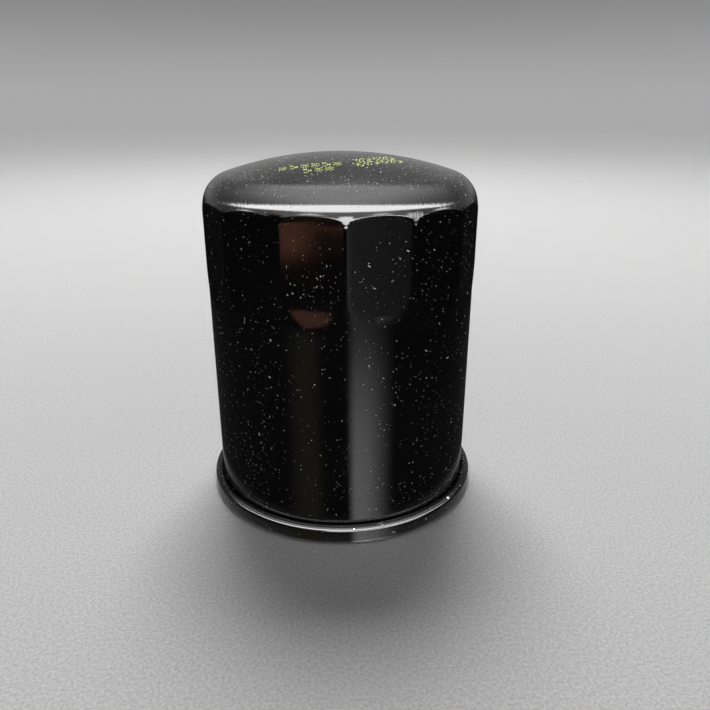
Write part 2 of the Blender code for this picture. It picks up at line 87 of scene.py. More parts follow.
class Body(Enum):
    """The moving bodies that pieces ride on."""

    HOUSING = "housing"
    POPPET = "bypass_poppet"
    MEMBRANE = "anti_drain_membrane"


# ---- workbench ---------------------------------------------------------------------------------


def pick_only(piece: Object | None) -> None:
    """Selects one object and nothing else.

    Args:
        piece: The object to work on, or None to leave everything deselected.
    """
    if bpy.context.mode != "OBJECT":
        bpy.ops.object.mode_set(mode="OBJECT")
    bpy.ops.object.select_all(action="DESELECT")
    if piece is not None:
        piece.select_set(True)
        bpy.context.view_layer.objects.active = piece


def name_piece(name: str) -> Object:
    """Names the object just added, and puts its place into its mesh.

    Args:
        name: The piece's name.

    Returns:
        The object.
    """
    piece = bpy.context.object
    piece.name = name
    piece.data.name = name
    bpy.ops.object.transform_apply(location=True, rotation=True, scale=True)
    return piece


def start_point(name: str, place: Triple) -> Object:
    """Adds a plane, draws it together to one point and stays in edit mode.

    Args:
        name: The piece's name.
        place: Where the point is.

    Returns:
        The object.
    """
    pick_only(None)
    bpy.ops.mesh.primitive_plane_add(size=MM, location=place)
    piece = name_piece(name)
    bpy.ops.object.mode_set(mode="EDIT")
    bpy.ops.mesh.select_all(action="SELECT")
    bpy.ops.mesh.merge(type="CENTER")
    return piece


def block(name: str, size: Triple, place: Triple) -> Object:
    """Adds a block.

    Args:
        name: The piece's name.
        size: Its three lengths.
        place: Its middle.

    Returns:
        The object.
    """
    pick_only(None)
    bpy.ops.mesh.primitive_cube_add(size=1.0, location=place)
    bpy.context.object.scale = size
    return name_piece(name)


def extrude(step: Triple) -> None:
    """Extrudes what is selected by a step."""
    bpy.ops.mesh.extrude_region_move(TRANSFORM_OT_translate={"value": step})


def close_edit() -> None:
    """Turns every face outwards and leaves edit mode."""
    bpy.ops.mesh.select_all(action="SELECT")
    bpy.ops.mesh.normals_make_consistent(inside=False)
    bpy.ops.object.mode_set(mode="OBJECT")


def select_points(piece: Object, wanted: Callable[[Vector], bool]) -> None:
    """Selects points in edit mode by their place, with the edges and faces between them.

    Args:
        piece: The object in edit mode.
        wanted: Says of a point's place whether to select it.
    """
    bpy.ops.mesh.select_all(action="DESELECT")
    shape = bmesh.from_edit_mesh(piece.data)
    for point in shape.verts:
        if wanted(point.co):
            point.select_set(True)
    shape.select_flush(True)
    bmesh.update_edit_mesh(piece.data)


def move_points(piece: Object, rule: Callable[[Vector], Vector]) -> None:
    """Moves every point of a finished mesh by a rule.

    Args:
        piece: The object, in object mode.
        rule: Gives a point's new place from its old one.
    """
    for point in piece.data.vertices:
        point.co = rule(point.co.copy())
    piece.data.update()


def apply_modifier(piece: Object, kind: str, **settings: Any) -> None:
    """Adds one modifier, sets it and applies it.

    Args:
        piece: The object.
        kind: The modifier's type.
        **settings: The modifier's own properties.
    """
    pick_only(piece)
    modifier = piece.modifiers.new(kind.lower(), kind)
    for key, value in settings.items():
        setattr(modifier, key, value)
    bpy.ops.object.modifier_apply(modifier=modifier.name)


def soften(piece: Object, width: float, steps: int = 2, angle: float = 32.0) -> None:
    """Rounds the sharp edges of a piece.

    Args:
        piece: The object.
        width: The width of the rounding.
        steps: How many faces make the rounding.
        angle: Edges sharper than this, in degrees, are rounded.
    """
    apply_modifier(
        piece,
        "BEVEL",
        width=width,
        segments=steps,
        limit_method="ANGLE",
        angle_limit=math.radians(angle),
        use_clamp_overlap=True,
    )


def carve(piece: Object, tool: Object, operation: str = "DIFFERENCE") -> None:
    """Cuts or joins one solid with another, which is then thrown away.

    Args:
        piece: The object to keep.
        tool: The cutter or the added solid.
        operation: DIFFERENCE or UNION.
    """
    apply_modifier(piece, "BOOLEAN", operation=operation, solver="EXACT", object=tool)
    bpy.data.objects.remove(tool, do_unlink=True)


def shade(piece: Object, angle: float = 38.0) -> None:
    """Smooths the shading, except across edges sharper than an angle in degrees."""
    pick_only(piece)
    bpy.ops.object.shade_smooth_by_angle(angle=math.radians(angle))


def join_pieces(pieces: Sequence[Object]) -> Object:
    """Joins several meshes into the first one.

    Args:
        pieces: The objects.

    Returns:
        The one object that is left.
    """
    pick_only(pieces[0])
    for piece in pieces:
        piece.select_set(True)
    bpy.ops.object.join()
    return bpy.context.object


def copy_round(piece: Object, count: int, start: float = 0.0) -> list[Object]:
    """Copies a piece round the axis, each copy with its own mesh.

    Args:
        piece: The model of all copies. It becomes the first of them.
        count: How many there are.
        start: The first one's turn, in radians.

    Returns:
        All the objects.
    """
    made = [piece]
    for _ in range(count - 1):
        copy = piece.copy()
        copy.data = piece.data.copy()
        bpy.context.scene.collection.objects.link(copy)
        made.append(copy)
    for number, copy in enumerate(made):
        copy.data.transform(Matrix.Rotation(start + FULL_TURN * number / count, 4, "Z"))
    return made


def arc_path(centre: Ring, radius: float, start: float, end: float, steps: int) -> list[Ring]:
    """Points of an arc in the turning plane.

    Args:
        centre: The arc's centre, as radius and height.
        radius: The arc's own radius.
        start: The first angle, in degrees from the outward direction.
        end: The last angle.
        steps: How many chords.

    Returns:
        The points, both ends included.
    """
    angles = [math.radians(start + (end - start) * step / steps) for step in range(steps + 1)]
    return [(centre[0] + radius * math.cos(a), centre[1] + radius * math.sin(a)) for a in angles]


def smooth_step(value: float) -> float:
    """Eases a share from 0 to 1, and clamps it."""
    value = min(1.0, max(0.0, value))
    return value * value * (3 - 2 * value)


def soft_least(first: float, second: float, blend: float) -> float:
    """The lesser of two lengths, rounded where they are nearly equal.

    Args:
        first: One length.
        second: The other.
        blend: The difference within which they are rounded together.

    Returns:
        The rounded least.
    """
    near = max(blend - abs(first - second), 0.0) / blend
    return min(first, second) - near * near * blend / 4


class Turning:
    """A piece whose section is drawn by extruding one point, and is then spun round the axis."""

    def __init__(self, name: str, sides: Sides, start: Ring) -> None:
        """Adds a plane at the first corner, and draws it together to one point.

        Args:
            name: The piece's name.
            sides: How many sides the piece has.
            start: The first corner's radius and height.
        """
        self.piece = start_point(name, (start[0], 0.0, start[1]))
        self.sides = sides
        self.first = start
        self.last = start

    def to(self, radius: float, height: float) -> None:
        """Extrudes the last corner to a new radius and height."""
        extrude((radius - self.last[0], 0.0, height - self.last[1]))
        self.last = (radius, height)

    def along(self, path: Sequence[Ring]) -> None:
        """Extrudes through a list of radius and height pairs."""
        for radius, height in path:
            self.to(radius, height)

    def close(self) -> None:
        """Brings the section back to its first corner."""
        self.to(*self.first)

    def done(self) -> Object:
        """Spins the section, welds it, turns the faces outwards and leaves edit mode.

        Returns:
            The finished object.
        """
        bpy.ops.mesh.select_all(action="SELECT")
        bpy.ops.mesh.spin(
            steps=self.sides.value, angle=FULL_TURN, center=(0.0, 0.0, 0.0), axis=(0.0, 0.0, 1.0)
        )
        bpy.ops.mesh.select_all(action="SELECT")
        bpy.ops.mesh.remove_doubles(threshold=WELD)
        close_edit()
        return self.piece


def turned(name: str, sides: Sides, section: Sequence[Ring]) -> Object:
    """A ring of one closed section.

    Args:
        name: The piece's name.
        sides: How many sides it has.
        section: The section's corners, as radius and height pairs.

    Returns:
        The object.
    """
    work = Turning(name, sides, section[0])
    work.along(section[1:])
    work.close()
    return work.done()


def rod(name: str, sides: Sides, profile: Sequence[Ring]) -> Object:
    """A solid of revolution whose profile starts and ends on the axis.

    Args:
        name: The piece's name.
        sides: How many sides it has.
        profile: Radius and height pairs.

    Returns:
        The object.
    """
    work = Turning(name, sides, profile[0])
    work.along(profile[1:])
    return work.done()


def flared_cutter(radius: float, flare: float, half: float, pose: Matrix) -> Object:
    """A round cutter whose ends flare, so that a hole's rims come out chamfered.

    Args:
        radius: The hole's radius.
        flare: The width of the chamfer.
        half: Half of the thickness of the wall it cuts.
        pose: Turns and moves the upright cutter to its place.

    Returns:
        The object.
    """
    waist = half - flare
    reach = 3.0 * flare
    ends = [(0.0, waist + reach), (radius + reach, waist + reach), (radius, waist)]
    tool = rod("cutter", Sides.ROD, ends + [(out, -height) for out, height in reversed(ends)])
    tool.data.transform(pose)
    return tool


# ---- node trees --------------------------------------------------------------------------------


class Value:
    """A node's output, with arithmetic that adds Math nodes to its tree."""

    def __init__(self, graph: "Graph", socket: Socket) -> None:
        """Takes the graph to add nodes to, and the socket."""
        self.graph = graph
        self.socket = socket

    def __add__(self, other: Any) -> "Value":
        """Self + other."""
        return self.graph.math("ADD", self, other)

    def __radd__(self, other: float) -> "Value":
        """A number + self."""
        return self.graph.math("ADD", other, self)

    def __sub__(self, other: Any) -> "Value":
        """Self - other."""
        return self.graph.math("SUBTRACT", self, other)

    def __rsub__(self, other: float) -> "Value":
        """A number - self."""
        return self.graph.math("SUBTRACT", other, self)

    def __mul__(self, other: Any) -> "Value":
        """Self * other."""
        return self.graph.math("MULTIPLY", self, other)

    def __truediv__(self, other: Any) -> "Value":
        """Self / other."""
        return self.graph.math("DIVIDE", self, other)


Values = dict[str, Value]


class Graph:
    """Places and joins the nodes of one tree."""

    def __init__(self, tree: bpy.types.NodeTree) -> None:
        """Takes the tree to work in."""
        self.tree = tree

    def add(self, kind: str, inputs: dict[Any, Any], **settings: Any) -> bpy.types.Node:
        """Adds one node.

        Args:
            kind: The node's type, without the leading ShaderNode.
            inputs: Sockets or plain values, by the input's name or number.
            **settings: The node's own properties.

        Returns:
            The node.
        """
        node = self.tree.nodes.new("ShaderNode" + kind)
        for key, value in settings.items():
            setattr(node, key, value)
        for key, value in inputs.items():
            self.feed(node.inputs[key], value)
        return node

    def feed(self, target: Socket, value: Any) -> None:
        """Links a value to an input, or sets the input's own number."""
        if isinstance(value, Value):
            self.tree.links.new(value.socket, target)
        else:
            target.default_value = value

    def out(self, kind: str, inputs: dict[Any, Any], output: Any = 0, **settings: Any) -> Value:
        """Adds one node and takes one of its outputs, by name or number."""
        return Value(self, self.add(kind, inputs, **settings).outputs[output])

    def math(self, operation: str, first: Any, second: Any = 0.0, clamp: bool = False) -> Value:
        """Joins two values by arithmetic.

        Args:
            operation: The Math node's operation.
            first: The first value or socket.
            second: The second value or socket.
            clamp: Whether the result stays from 0 to 1.

        Returns:
            The result.
        """
        return self.out("Math", {0: first, 1: second}, operation=operation, use_clamp=clamp)

    def span(
        self, value: Any, low: float, high: float, to_low: float = 0.0, to_high: float = 1.0
    ) -> Value:
        """Eases a value from one range to another, and clamps it.

        Args:
            value: The value or socket.
            low: The value that gives to_low.
            high: The value that gives to_high.
            to_low: The result at low.
            to_high: The result at high.

        Returns:
            The result.
        """
        numbers = {"Value": value, "From Min": low, "From Max": high}
        numbers |= {"To Min": to_low, "To Max": to_high}
        return self.out("MapRange", numbers, "Result", interpolation_type="SMOOTHSTEP")

    def band(self, value: Any, limits: Band) -> Value:
        """Rises from 0 to 1 between the first two limits, and falls back between the last two."""
        rise, full, fall, end = limits
        return self.span(value, rise, full) * self.span(value, fall, end, 1.0, 0.0)

    def blend(self, share: Any, first: Any, second: Any) -> Value:
        """Mixes two colours by a share from 0 to 1.

        Args:
            share: How much of the second colour.
            first: The first colour or socket.
            second: The second colour or socket.

        Returns:
            The mixed colour.
        """
        return self.out("Mix", {0: share, 6: first, 7: second}, 2, data_type="RGBA")

    def noise(self, vector: Any, scale: Any, detail: float = 2.0, roughness: float = 0.5) -> Value:
        """A noise value about 0.5.

        Args:
            vector: Where to read it.
            scale: Waves per metre.
            detail: How many finer layers it has.
            roughness: How strong they are.

        Returns:
            The value.
        """
        inputs = {"Vector": vector, "Scale": scale, "Detail": detail, "Roughness": roughness}
        return self.out("TexNoise", inputs)

    def cells(self, vector: Any, scale: Any) -> tuple[Value, list[Value]]:
        """A cell pattern: the distance from the cell's middle, and the cell's own three lots."""
        pattern = self.add("TexVoronoi", {"Vector": vector, "Scale": scale}).outputs
        lots = self.add("SeparateColor", {0: Value(self, pattern["Color"])}).outputs
        return Value(self, pattern["Distance"]), [Value(self, lot) for lot in lots]

    def place(self) -> Value:
        """The object coordinates of the surface."""
        return self.out("TexCoord", {}, "Object")

    def parts(self, vector: Value) -> list[Value]:
        """A vector's three parts."""
        return [Value(self, part) for part in self.add("SeparateXYZ", {0: vector}).outputs]

    def joined(self, first: Any, second: Any, third: Any) -> Value:
        """A vector of three parts."""
        return self.out("CombineXYZ", {0: first, 1: second, 2: third})

    def stretched(self, vector: Any, scale: Any) -> Value:
        """A vector multiplied by another, part by part."""
        return self.out("VectorMath", {0: vector, 1: scale}, operation="MULTIPLY")

    def length(self, vector: Any) -> Value:
        """A vector's length."""
        return self.out("VectorMath", {0: vector}, "Value", operation="LENGTH")

    def neutral(self, value: Value) -> Value:
        """A grey of a given strength."""
        return self.out("CombineColor", {0: value, 1: value, 2: value})

    def coat(
        self, shader: bpy.types.Node, colour: Value, rough: Value, relief: Value, *bump: float
    ) -> None:
        """Feeds a shader's colour, roughness and relief.

        Args:
            shader: The Principled BSDF.
            colour: Its base colour.
            rough: Its roughness.
            relief: The height that its bump is made of.
            *bump: The bump's distance and strength.
        """
        self.feed(shader.inputs["Base Color"], colour)
        self.feed(shader.inputs["Roughness"], rough)
        inputs = {"Height": relief, "Distance": bump[0], "Strength": bump[1]}
        self.feed(shader.inputs["Normal"], self.out("Bump", inputs))


class Effect:
    """A shared surface effect: a node group that is built once and placed with its own values."""

    name = "effect"
    takes: tuple[tuple[str, str], ...] = ()
    gives: tuple[tuple[str, str], ...] = ()

    def wire(self, graph: Graph, taken: Values) -> Values:
        """Builds the inside of the group.

        Args:
            graph: The group's own tree.
            taken: The group's inputs by name.

        Returns:
            What feeds each output.
        """
        raise NotImplementedError

    def group(self) -> bpy.types.NodeTree:
        """The group, made at its first use."""
        found = bpy.data.node_groups.get(self.name)
        if found:
            return found
        tree = bpy.data.node_groups.new(self.name, "ShaderNodeTree")
        for label, kind in self.takes:
            tree.interface.new_socket(label, in_out="INPUT", socket_type="NodeSocket" + kind)
        for label, kind in self.gives:
            tree.interface.new_socket(label, in_out="OUTPUT", socket_type="NodeSocket" + kind)
        source = tree.nodes.new("NodeGroupInput")
        sink = tree.nodes.new("NodeGroupOutput")
        graph = Graph(tree)
        taken = {label: Value(graph, source.outputs[label]) for label, _ in self.takes}
        for label, value in self.wire(graph, taken).items():
            graph.feed(sink.inputs[label], value)
        return tree

    def put(self, graph: Graph, **values: Any) -> Values:
        """Places the effect in a material.

        Args:
            graph: The material's tree.
            **values: The group's inputs, by name in lower case with _ for a space.

        Returns:
            The placed group's outputs by name.
        """
        node = graph.tree.nodes.new("ShaderNodeGroup")
        node.node_tree = self.group()
        for label, _ in self.takes:
            key = label.lower().replace(" ", "_")
            if key in values:
                graph.feed(node.inputs[label], values[key])
        return {label: Value(graph, node.outputs[label]) for label, _ in self.gives}


class AxisPlace(Effect):
    """Where a point lies round the filter's axis."""

    name = "axis_place"
    takes = (("Vector", "Vector"),)
    gives = (("Radius", "Float"), ("Height", "Float"), ("Wrapped", "Vector"))
    rise = 1.2

    def wire(self, graph: Graph, taken: Values) -> Values:
        """Splits the place into radius, height and a vector that runs with the wall."""
        across, along, height = graph.parts(taken["Vector"])
        flat = graph.joined(across, along, 0.0)
        ways = graph.parts(graph.out("VectorMath", {0: flat}, operation="NORMALIZE"))
        wrapped = graph.joined(ways[0], ways[1], height * self.rise)
        return {"Radius": graph.length(flat), "Height": height, "Wrapped": wrapped}


class Specks(Effect):
    """Settled dust: small round specks, here and there in drifts."""

    name = "dust_specks"
    takes = (
        (
            "Vector", "Vector"
        ), ("Scale", "Float"), ("Size", "Float"), ("Share", "Float"), ("Drift", "Float")
    )
    gives = (("Mask", "Float"), ("Tone", "Float"))

    def wire(self, graph: Graph, taken: Values) -> Values:
        """Keeps a share of the cells of a cell pattern, and draws a speck in the middle of each."""
        distance, lots = graph.cells(taken["Vector"], taken["Scale"])
        drift = graph.span(graph.noise(taken["Vector"], 70.0, 3.0, 0.6), 0.38, 0.68, 0.0, 1.6)
        even = 1.0 - taken["Drift"]
        weight = even + drift * taken["Drift"]
        kept = graph.math("LESS_THAN", lots[0], taken["Share"] * weight)
        size = taken["Size"] * (0.55 + lots[1])
        ragged = graph.noise(taken["Vector"], 9000.0, 1.0) * 0.12
        reach = distance + ragged
        inside = graph.math("LESS_THAN", reach, size)
        return {"Mask": kept * inside, "Tone": lots[2]}


class Strokes(Effect):
    """Short straight strokes in one direction: lint, or fine scratches."""

    name = "fine_strokes"
    takes = (
        (
            "Vector", "Vector"
        ), ("Turn", "Vector"), ("Scale", "Vector"), ("Width", "Float"), ("Share", "Float")
    )
    gives = (("Mask", "Float"),)

    def wire(self, graph: Graph, taken: Values) -> Values:
        """Draws specks in a cell pattern that is turned and stretched."""
        inputs = {"Vector": taken["Vector"], "Rotation": taken["Turn"]}
        place = graph.out("VectorRotate", inputs, rotation_type="EULER_XYZ")
        distance, lots = graph.cells(graph.stretched(place, taken["Scale"]), 1.0)
        kept = graph.math("LESS_THAN", lots[0], taken["Share"])
        inside = graph.math("LESS_THAN", distance, taken["Width"])
        return {"Mask": kept * inside}


class Mottle(Effect):
    """Broad and fine unevenness in one value from 0 to 1."""

    name = "mottle"
    takes = (("Vector", "Vector"), ("Scale", "Float"))
    gives = (("Value", "Float"),)

    def wire(self, graph: Graph, taken: Values) -> Values:
        """Adds a broad noise and a fine one."""
        broad = graph.noise(taken["Vector"], taken["Scale"], 4.0, 0.55)
        fine = graph.noise(taken["Vector"], taken["Scale"] * 9.0, 2.0, 0.5)
        both = broad * 0.72 + fine * 0.28
        return {"Value": graph.span(both, 0.32, 0.68)}


class Grain(Effect):
    """Lines along one direction, as rolling, drawing or turning leaves them."""

    name = "line_grain"
    takes = (("Vector", "Vector"), ("Scale", "Vector"))
    gives = (("Value", "Float"),)

    def wire(self, graph: Graph, taken: Values) -> Values:
        """Stretches a noise along the direction whose scale is small."""
        place = graph.stretched(taken["Vector"], taken["Scale"])
        return {"Value": graph.noise(place, 1.0, 4.0, 0.65)}


class Peel(Effect):
    """The slight unevenness of sprayed paint."""

    name = "orange_peel"
    takes = (("Vector", "Vector"), ("Scale", "Float"))
    gives = (("Height", "Float"),)

    def wire(self, graph: Graph, taken: Values) -> Values:
        """Adds soft bumps of two sizes."""
        wide = graph.noise(taken["Vector"], taken["Scale"], 1.0, 0.4)
        close = graph.noise(taken["Vector"], taken["Scale"] * 3.7, 1.0, 0.4)
        return {"Height": wide + close * 0.22}


AXIS_PLACE = AxisPlace()
SPECKS = Specks()
STROKES = Strokes()
MOTTLE = Mottle()
GRAIN = Grain()
PEEL = Peel()


# ---- finishes ----------------------------------------------------------------------------------


class Finish:
    """A surface finish with its own Principled material, made at its first use."""

    name = "finish"
    ior = 1.45

    def surface(self, graph: Graph, shader: bpy.types.Node) -> None:
        """Wires the finish into the shader's inputs.

        Args:
            graph: The material's tree.
            shader: Its Principled BSDF.
        """
        raise NotImplementedError

    def material(self) -> bpy.types.Material:
        """The material."""
        found = bpy.data.materials.get(self.name)
        if found:
            return found
        made = bpy.data.materials.new(self.name)
        made.use_nodes = True
        shader = made.node_tree.nodes["Principled BSDF"]
        shader.inputs["IOR"].default_value = self.ior
        self.surface(Graph(made.node_tree), shader)
        return made

    def dress(self, piece: Object) -> None:
        """Gives the finish to a piece, in place of what it has."""
        piece.data.materials.clear()
        piece.data.materials.append(self.material())


def grey(value: float) -> Colour:
    """A neutral colour."""
    return (value, value, value, 1.0)


@dataclass(frozen=True)
class BlackPaint(Finish):
    """Gloss black paint, with dust, lint, handling marks and chips."""

    name: str = "black_paint_can"
    ior: float = 1.38
    depth: Colour = (0.0014, 0.0014, 0.0016, 1.0)
    dust_colour: Colour = (0.86, 0.86, 0.82, 1.0)
    steel_colour: Colour = (0.52, 0.50, 0.47, 1.0)
    rust_colour: Colour = (0.085, 0.045, 0.018, 1.0)
    gloss: float = 0.07
    crown_gloss: float = 0.20
    crown_low: float = 77.5 * MM
    crown_high: float = 80.5 * MM
    wall_dust: float = 0.42
    crown_dust: float = 1.5
    lint_turns: tuple[Triple, ...] = ((0.5, 0.2, 0.0), (1.2, -0.5, 0.9), (-0.6, 0.9, 2.1))
    lint_scale: Triple = (900.0, 900.0, 150.0)
    hair_turn: Triple = (0.1, 0.25, 0.4)
    hair_scale: Triple = (1800.0, 1800.0, 60.0)
    chip_low: float = -2.0 * MM
    chip_high: float = -1.0 * MM
    chip_edge: float = 0.3 * MM
    chip_share: float = 0.0
    shoulder: Band = (73.0 * MM, 75.0 * MM, 79.5 * MM, 81.5 * MM)
    line_scale: Triple = (52.0, 52.0, 16.0)
    line_height: float = 24.0
    draw_lines: float = 1.0
    bump: float = 0.0035 * MM

    def by_height(self, graph: Graph, height: Value, wall: float, crown: float) -> Value:
        """One number on the wall that goes over to another on the crown."""
        return graph.span(height, self.crown_low, self.crown_high, wall, crown)

    def settled(self, graph: Graph, here: Value, height: Value) -> tuple[Value, Value]:
        """Everything that has settled on the paint.

        Args:
            graph: The material's tree.
            here: The place on the surface.
            height: Its height.

        Returns:
            One mask of dust, lint and hairs, and how pale the dust is.
        """
        share = self.by_height(graph, height, self.wall_dust, self.crown_dust)
        lint_share = self.by_height(graph, height, 0.10, 0.34)
        coarse = SPECKS.put(graph, vector=here, scale=760.0, size=0.105, share=share, drift=0.85)
        fine = SPECKS.put(graph, vector=here, scale=1500.0, size=0.14, share=share, drift=0.6)
        powder = SPECKS.put(
            graph, vector=here, scale=2500.0, size=0.17, share=share * 0.4, drift=0.8
        )
        lint = {"scale": self.lint_scale, "width": 0.085, "share": lint_share}
        hair = {"scale": self.hair_scale, "width": 0.05, "share": 0.05}
        masks = [coarse["Mask"], fine["Mask"] * 0.85, powder["Mask"] * 0.6]
        masks += [
            STROKES.put(graph, vector=here, turn=turn, **lint)["Mask"] * 0.8
            for turn in self.lint_turns
        ]
        masks.append(STROKES.put(graph, vector=here, turn=self.hair_turn, **hair)["Mask"] * 0.35)
        dust = masks[0]
        for mask in masks[1:]:
            dust = graph.math("MAXIMUM", dust, mask)
        return dust, dust * (0.35 + coarse["Tone"] * 0.65)

    def surface(self, graph: Graph, shader: bpy.types.Node) -> None:
        """Builds the paint from its gloss, its dust and its damage."""
        here = graph.place()
        axis = AXIS_PLACE.put(graph, vector=here)
        height = axis["Height"]
        dust, tone = self.settled(graph, here, height)
        smear = MOTTLE.put(graph, vector=here, scale=38.0)["Value"]
        film = smear * self.by_height(graph, height, 0.001, 0.02)
        chip_end = (self.chip_high, self.chip_high + self.chip_edge)
        band = graph.band(height, (self.chip_low, self.chip_low + self.chip_edge, *chip_end))
        chips = graph.math("LESS_THAN", graph.noise(here, 620.0, 3.0, 0.7), 0.37)
        drifts = graph.span(graph.noise(here, 55.0, 1.0), 0.50, 0.62)
        bare = (band * chips) * (drifts * self.chip_share)
        rust = graph.span(graph.noise(here, 260.0, 2.0), 0.5, 0.62)
        metal = graph.blend(rust, self.steel_colour, self.rust_colour)
        colour = graph.blend(film, self.depth, self.dust_colour)
        colour = graph.blend(tone, colour, self.dust_colour)
        colour = graph.blend(bare, colour, metal)
        graph.feed(shader.inputs["Metallic"], bare * (1.0 - rust))
        gloss = self.by_height(graph, height, self.gloss, self.crown_gloss) + smear * 0.045
        gloss = graph.math("ADD", gloss, dust * 0.8, clamp=True)
        rough = graph.math("MAXIMUM", gloss, bare * 0.38)
        peel = PEEL.put(graph, vector=here, scale=330.0)["Height"]
        lines = GRAIN.put(graph, vector=axis["Wrapped"], scale=self.line_scale)["Value"]
        lines = lines * graph.band(height, self.shoulder) * self.draw_lines
        relief = peel + lines * self.line_height + dust * 6.0 - bare * 8.0
        graph.coat(shader, colour, rough, relief, self.bump, 1.0)


@dataclass(frozen=True)
class Rubber(Finish):
    """Moulded rubber with a dull bloom and a little dust."""

    name: str = "nitrile_rubber"
    ior: float = 1.5
    colour: Colour = (0.014, 0.014, 0.015, 1.0)
    bloom_colour: Colour = (0.07, 0.07, 0.072, 1.0)
    bloom: float = 0.35
    gloss: float = 0.42
    mould_marks: Triple = (160.0, 160.0, 3200.0)
    bump: float = 0.012 * MM

    def surface(self, graph: Graph, shader: bpy.types.Node) -> None:
        """Builds the rubber from its bloom, its mould's finish and its dust."""
        here = graph.place()
        patches = MOTTLE.put(graph, vector=here, scale=120.0)["Value"]
        dust = SPECKS.put(graph, vector=here, scale=1300.0, size=0.12, share=0.35, drift=0.7)
        colour = graph.blend(patches * self.bloom, self.colour, self.bloom_colour)
        colour = graph.blend(dust["Mask"] * 0.5, colour, grey(0.5))
        skin = graph.noise(here, 5200.0, 2.0, 0.6)
        marks = GRAIN.put(graph, vector=here, scale=self.mould_marks)["Value"]
        relief = skin * 0.6 + marks * 0.4
        graph.coat(shader, colour, self.gloss + patches * 0.2, relief, self.bump, 0.8)


@dataclass(frozen=True)
class SheetMetal(Finish):
    """Plated or tinned steel sheet, with rolling lines, stains and scratches."""

    name: str = "tinplate"
    colour: Colour = (0.70, 0.70, 0.68, 1.0)
    stain: Colour = (0.50, 0.48, 0.42, 1.0)
    gloss: float = 0.24
    lines: Triple = (60.0, 2600.0, 2600.0)
    line_depth: float = 0.004 * MM
    spangle: float = 0.0
    scratches: tuple[tuple[Triple, Triple, float], ...] = (
        ((0.4, 0.7, 0.2), (1500.0, 1500.0, 90.0), 0.3),
        ((1.4, 0.1, 1.0), (1400.0, 1400.0, 70.0), 0.25),
    )

    def surface(self, graph: Graph, shader: bpy.types.Node) -> None:
        """Builds the sheet from its stains, lines, crystals and scratches."""
        here = graph.place()
        patches = MOTTLE.put(graph, vector=here, scale=90.0)["Value"]
        lines = GRAIN.put(graph, vector=here, scale=self.lines)["Value"]
        crystal = graph.cells(here, 900.0)[1][0] * self.spangle
        marks = [
            STROKES.put(graph, vector=here, turn=turn, scale=scale, width=0.05, share=share)["Mask"]
            for turn, scale, share in self.scratches
        ]
        scratch = graph.math("MAXIMUM", *marks)
        colour = graph.blend(patches * 0.55, self.colour, self.stain)
        colour = graph.blend(crystal * 0.25, colour, grey(0.86))
        colour = graph.blend(scratch * 0.4, colour, grey(0.88))
        graph.feed(shader.inputs["Metallic"], 1.0 - patches * 0.06)
        rough = self.gloss + patches * 0.14 + lines * 0.08 + crystal * 0.06
        graph.coat(shader, colour, rough, lines - scratch * 0.8, self.line_depth, 1.0)


@dataclass(frozen=True)
class PlatedPlate(Finish):
    """Zinc-plated steel with turned rings and a faint yellow and blue cast."""

    name: str = "zinc_plate"
    colour: Colour = (0.60, 0.61, 0.62, 1.0)
    cast: Colour = (0.60, 0.56, 0.44, 1.0)
    cool: Colour = (0.46, 0.52, 0.62, 1.0)
    gloss: float = 0.28
    ring_scale: Triple = (5200.0, 5200.0, 1.0)
    bump: float = 0.006 * MM

    def surface(self, graph: Graph, shader: bpy.types.Node) -> None:
        """Builds the plating from its cast, its turning rings and its dull spots."""
        here = graph.place()
        axis = AXIS_PLACE.put(graph, vector=here)
        warm = MOTTLE.put(graph, vector=here, scale=70.0)["Value"]
        cold = graph.span(graph.noise(here, 45.0, 2.0), 0.45, 0.68)
        rings_at = graph.joined(axis["Radius"], axis["Height"], 0.0)
        rings = GRAIN.put(graph, vector=rings_at, scale=self.ring_scale)["Value"]
        spots = SPECKS.put(graph, vector=here, scale=620.0, size=0.3, share=0.25, drift=0.8)["Mask"]
        colour = graph.blend(warm * 0.6, self.colour, self.cast)
        colour = graph.blend(cold * 0.5, colour, self.cool)
        colour = graph.blend(spots * 0.35, colour, grey(0.3))
        graph.feed(shader.inputs["Metallic"], 1.0 - spots * 0.2)
        relief = rings + graph.noise(here, 2600.0, 2.0) * 0.5
        rough = self.gloss + warm * 0.16 + spots * 0.2
        graph.coat(shader, colour, rough, relief, self.bump, 1.0)


@dataclass(frozen=True)
class FilterPaper(Finish):
    """Resin-treated filter paper with loose fibres."""

    name: str = "filter_paper"
    colour: Colour = (0.72, 0.57, 0.34, 1.0)
    resin: Colour = (0.60, 0.42, 0.20, 1.0)
    fibre_colour: Colour = (0.82, 0.72, 0.52, 1.0)
    fibre_turn: Triple = (0.3, 1.1, 0.4)
    fibre_scale: Triple = (3200.0, 3200.0, 420.0)
    creping: Triple = (220.0, 220.0, 2400.0)
    bump: float = 0.03 * MM

    def surface(self, graph: Graph, shader: bpy.types.Node) -> None:
        """Builds the paper from its resin, its fibres and its fine creping."""
        here = graph.place()
        soaked = MOTTLE.put(graph, vector=here, scale=140.0)["Value"]
        lie = {"turn": self.fibre_turn, "scale": self.fibre_scale}
        fibres = STROKES.put(graph, vector=here, width=0.16, share=0.5, **lie)["Mask"]
        colour = graph.blend(soaked * 0.7, self.colour, self.resin)
        colour = graph.blend(fibres * 0.6, colour, self.fibre_colour)
        crepe = GRAIN.put(graph, vector=here, scale=self.creping)["Value"]
        graph.coat(shader, colour, 0.78 + soaked * 0.12, crepe + fibres * 0.5, self.bump, 0.8)


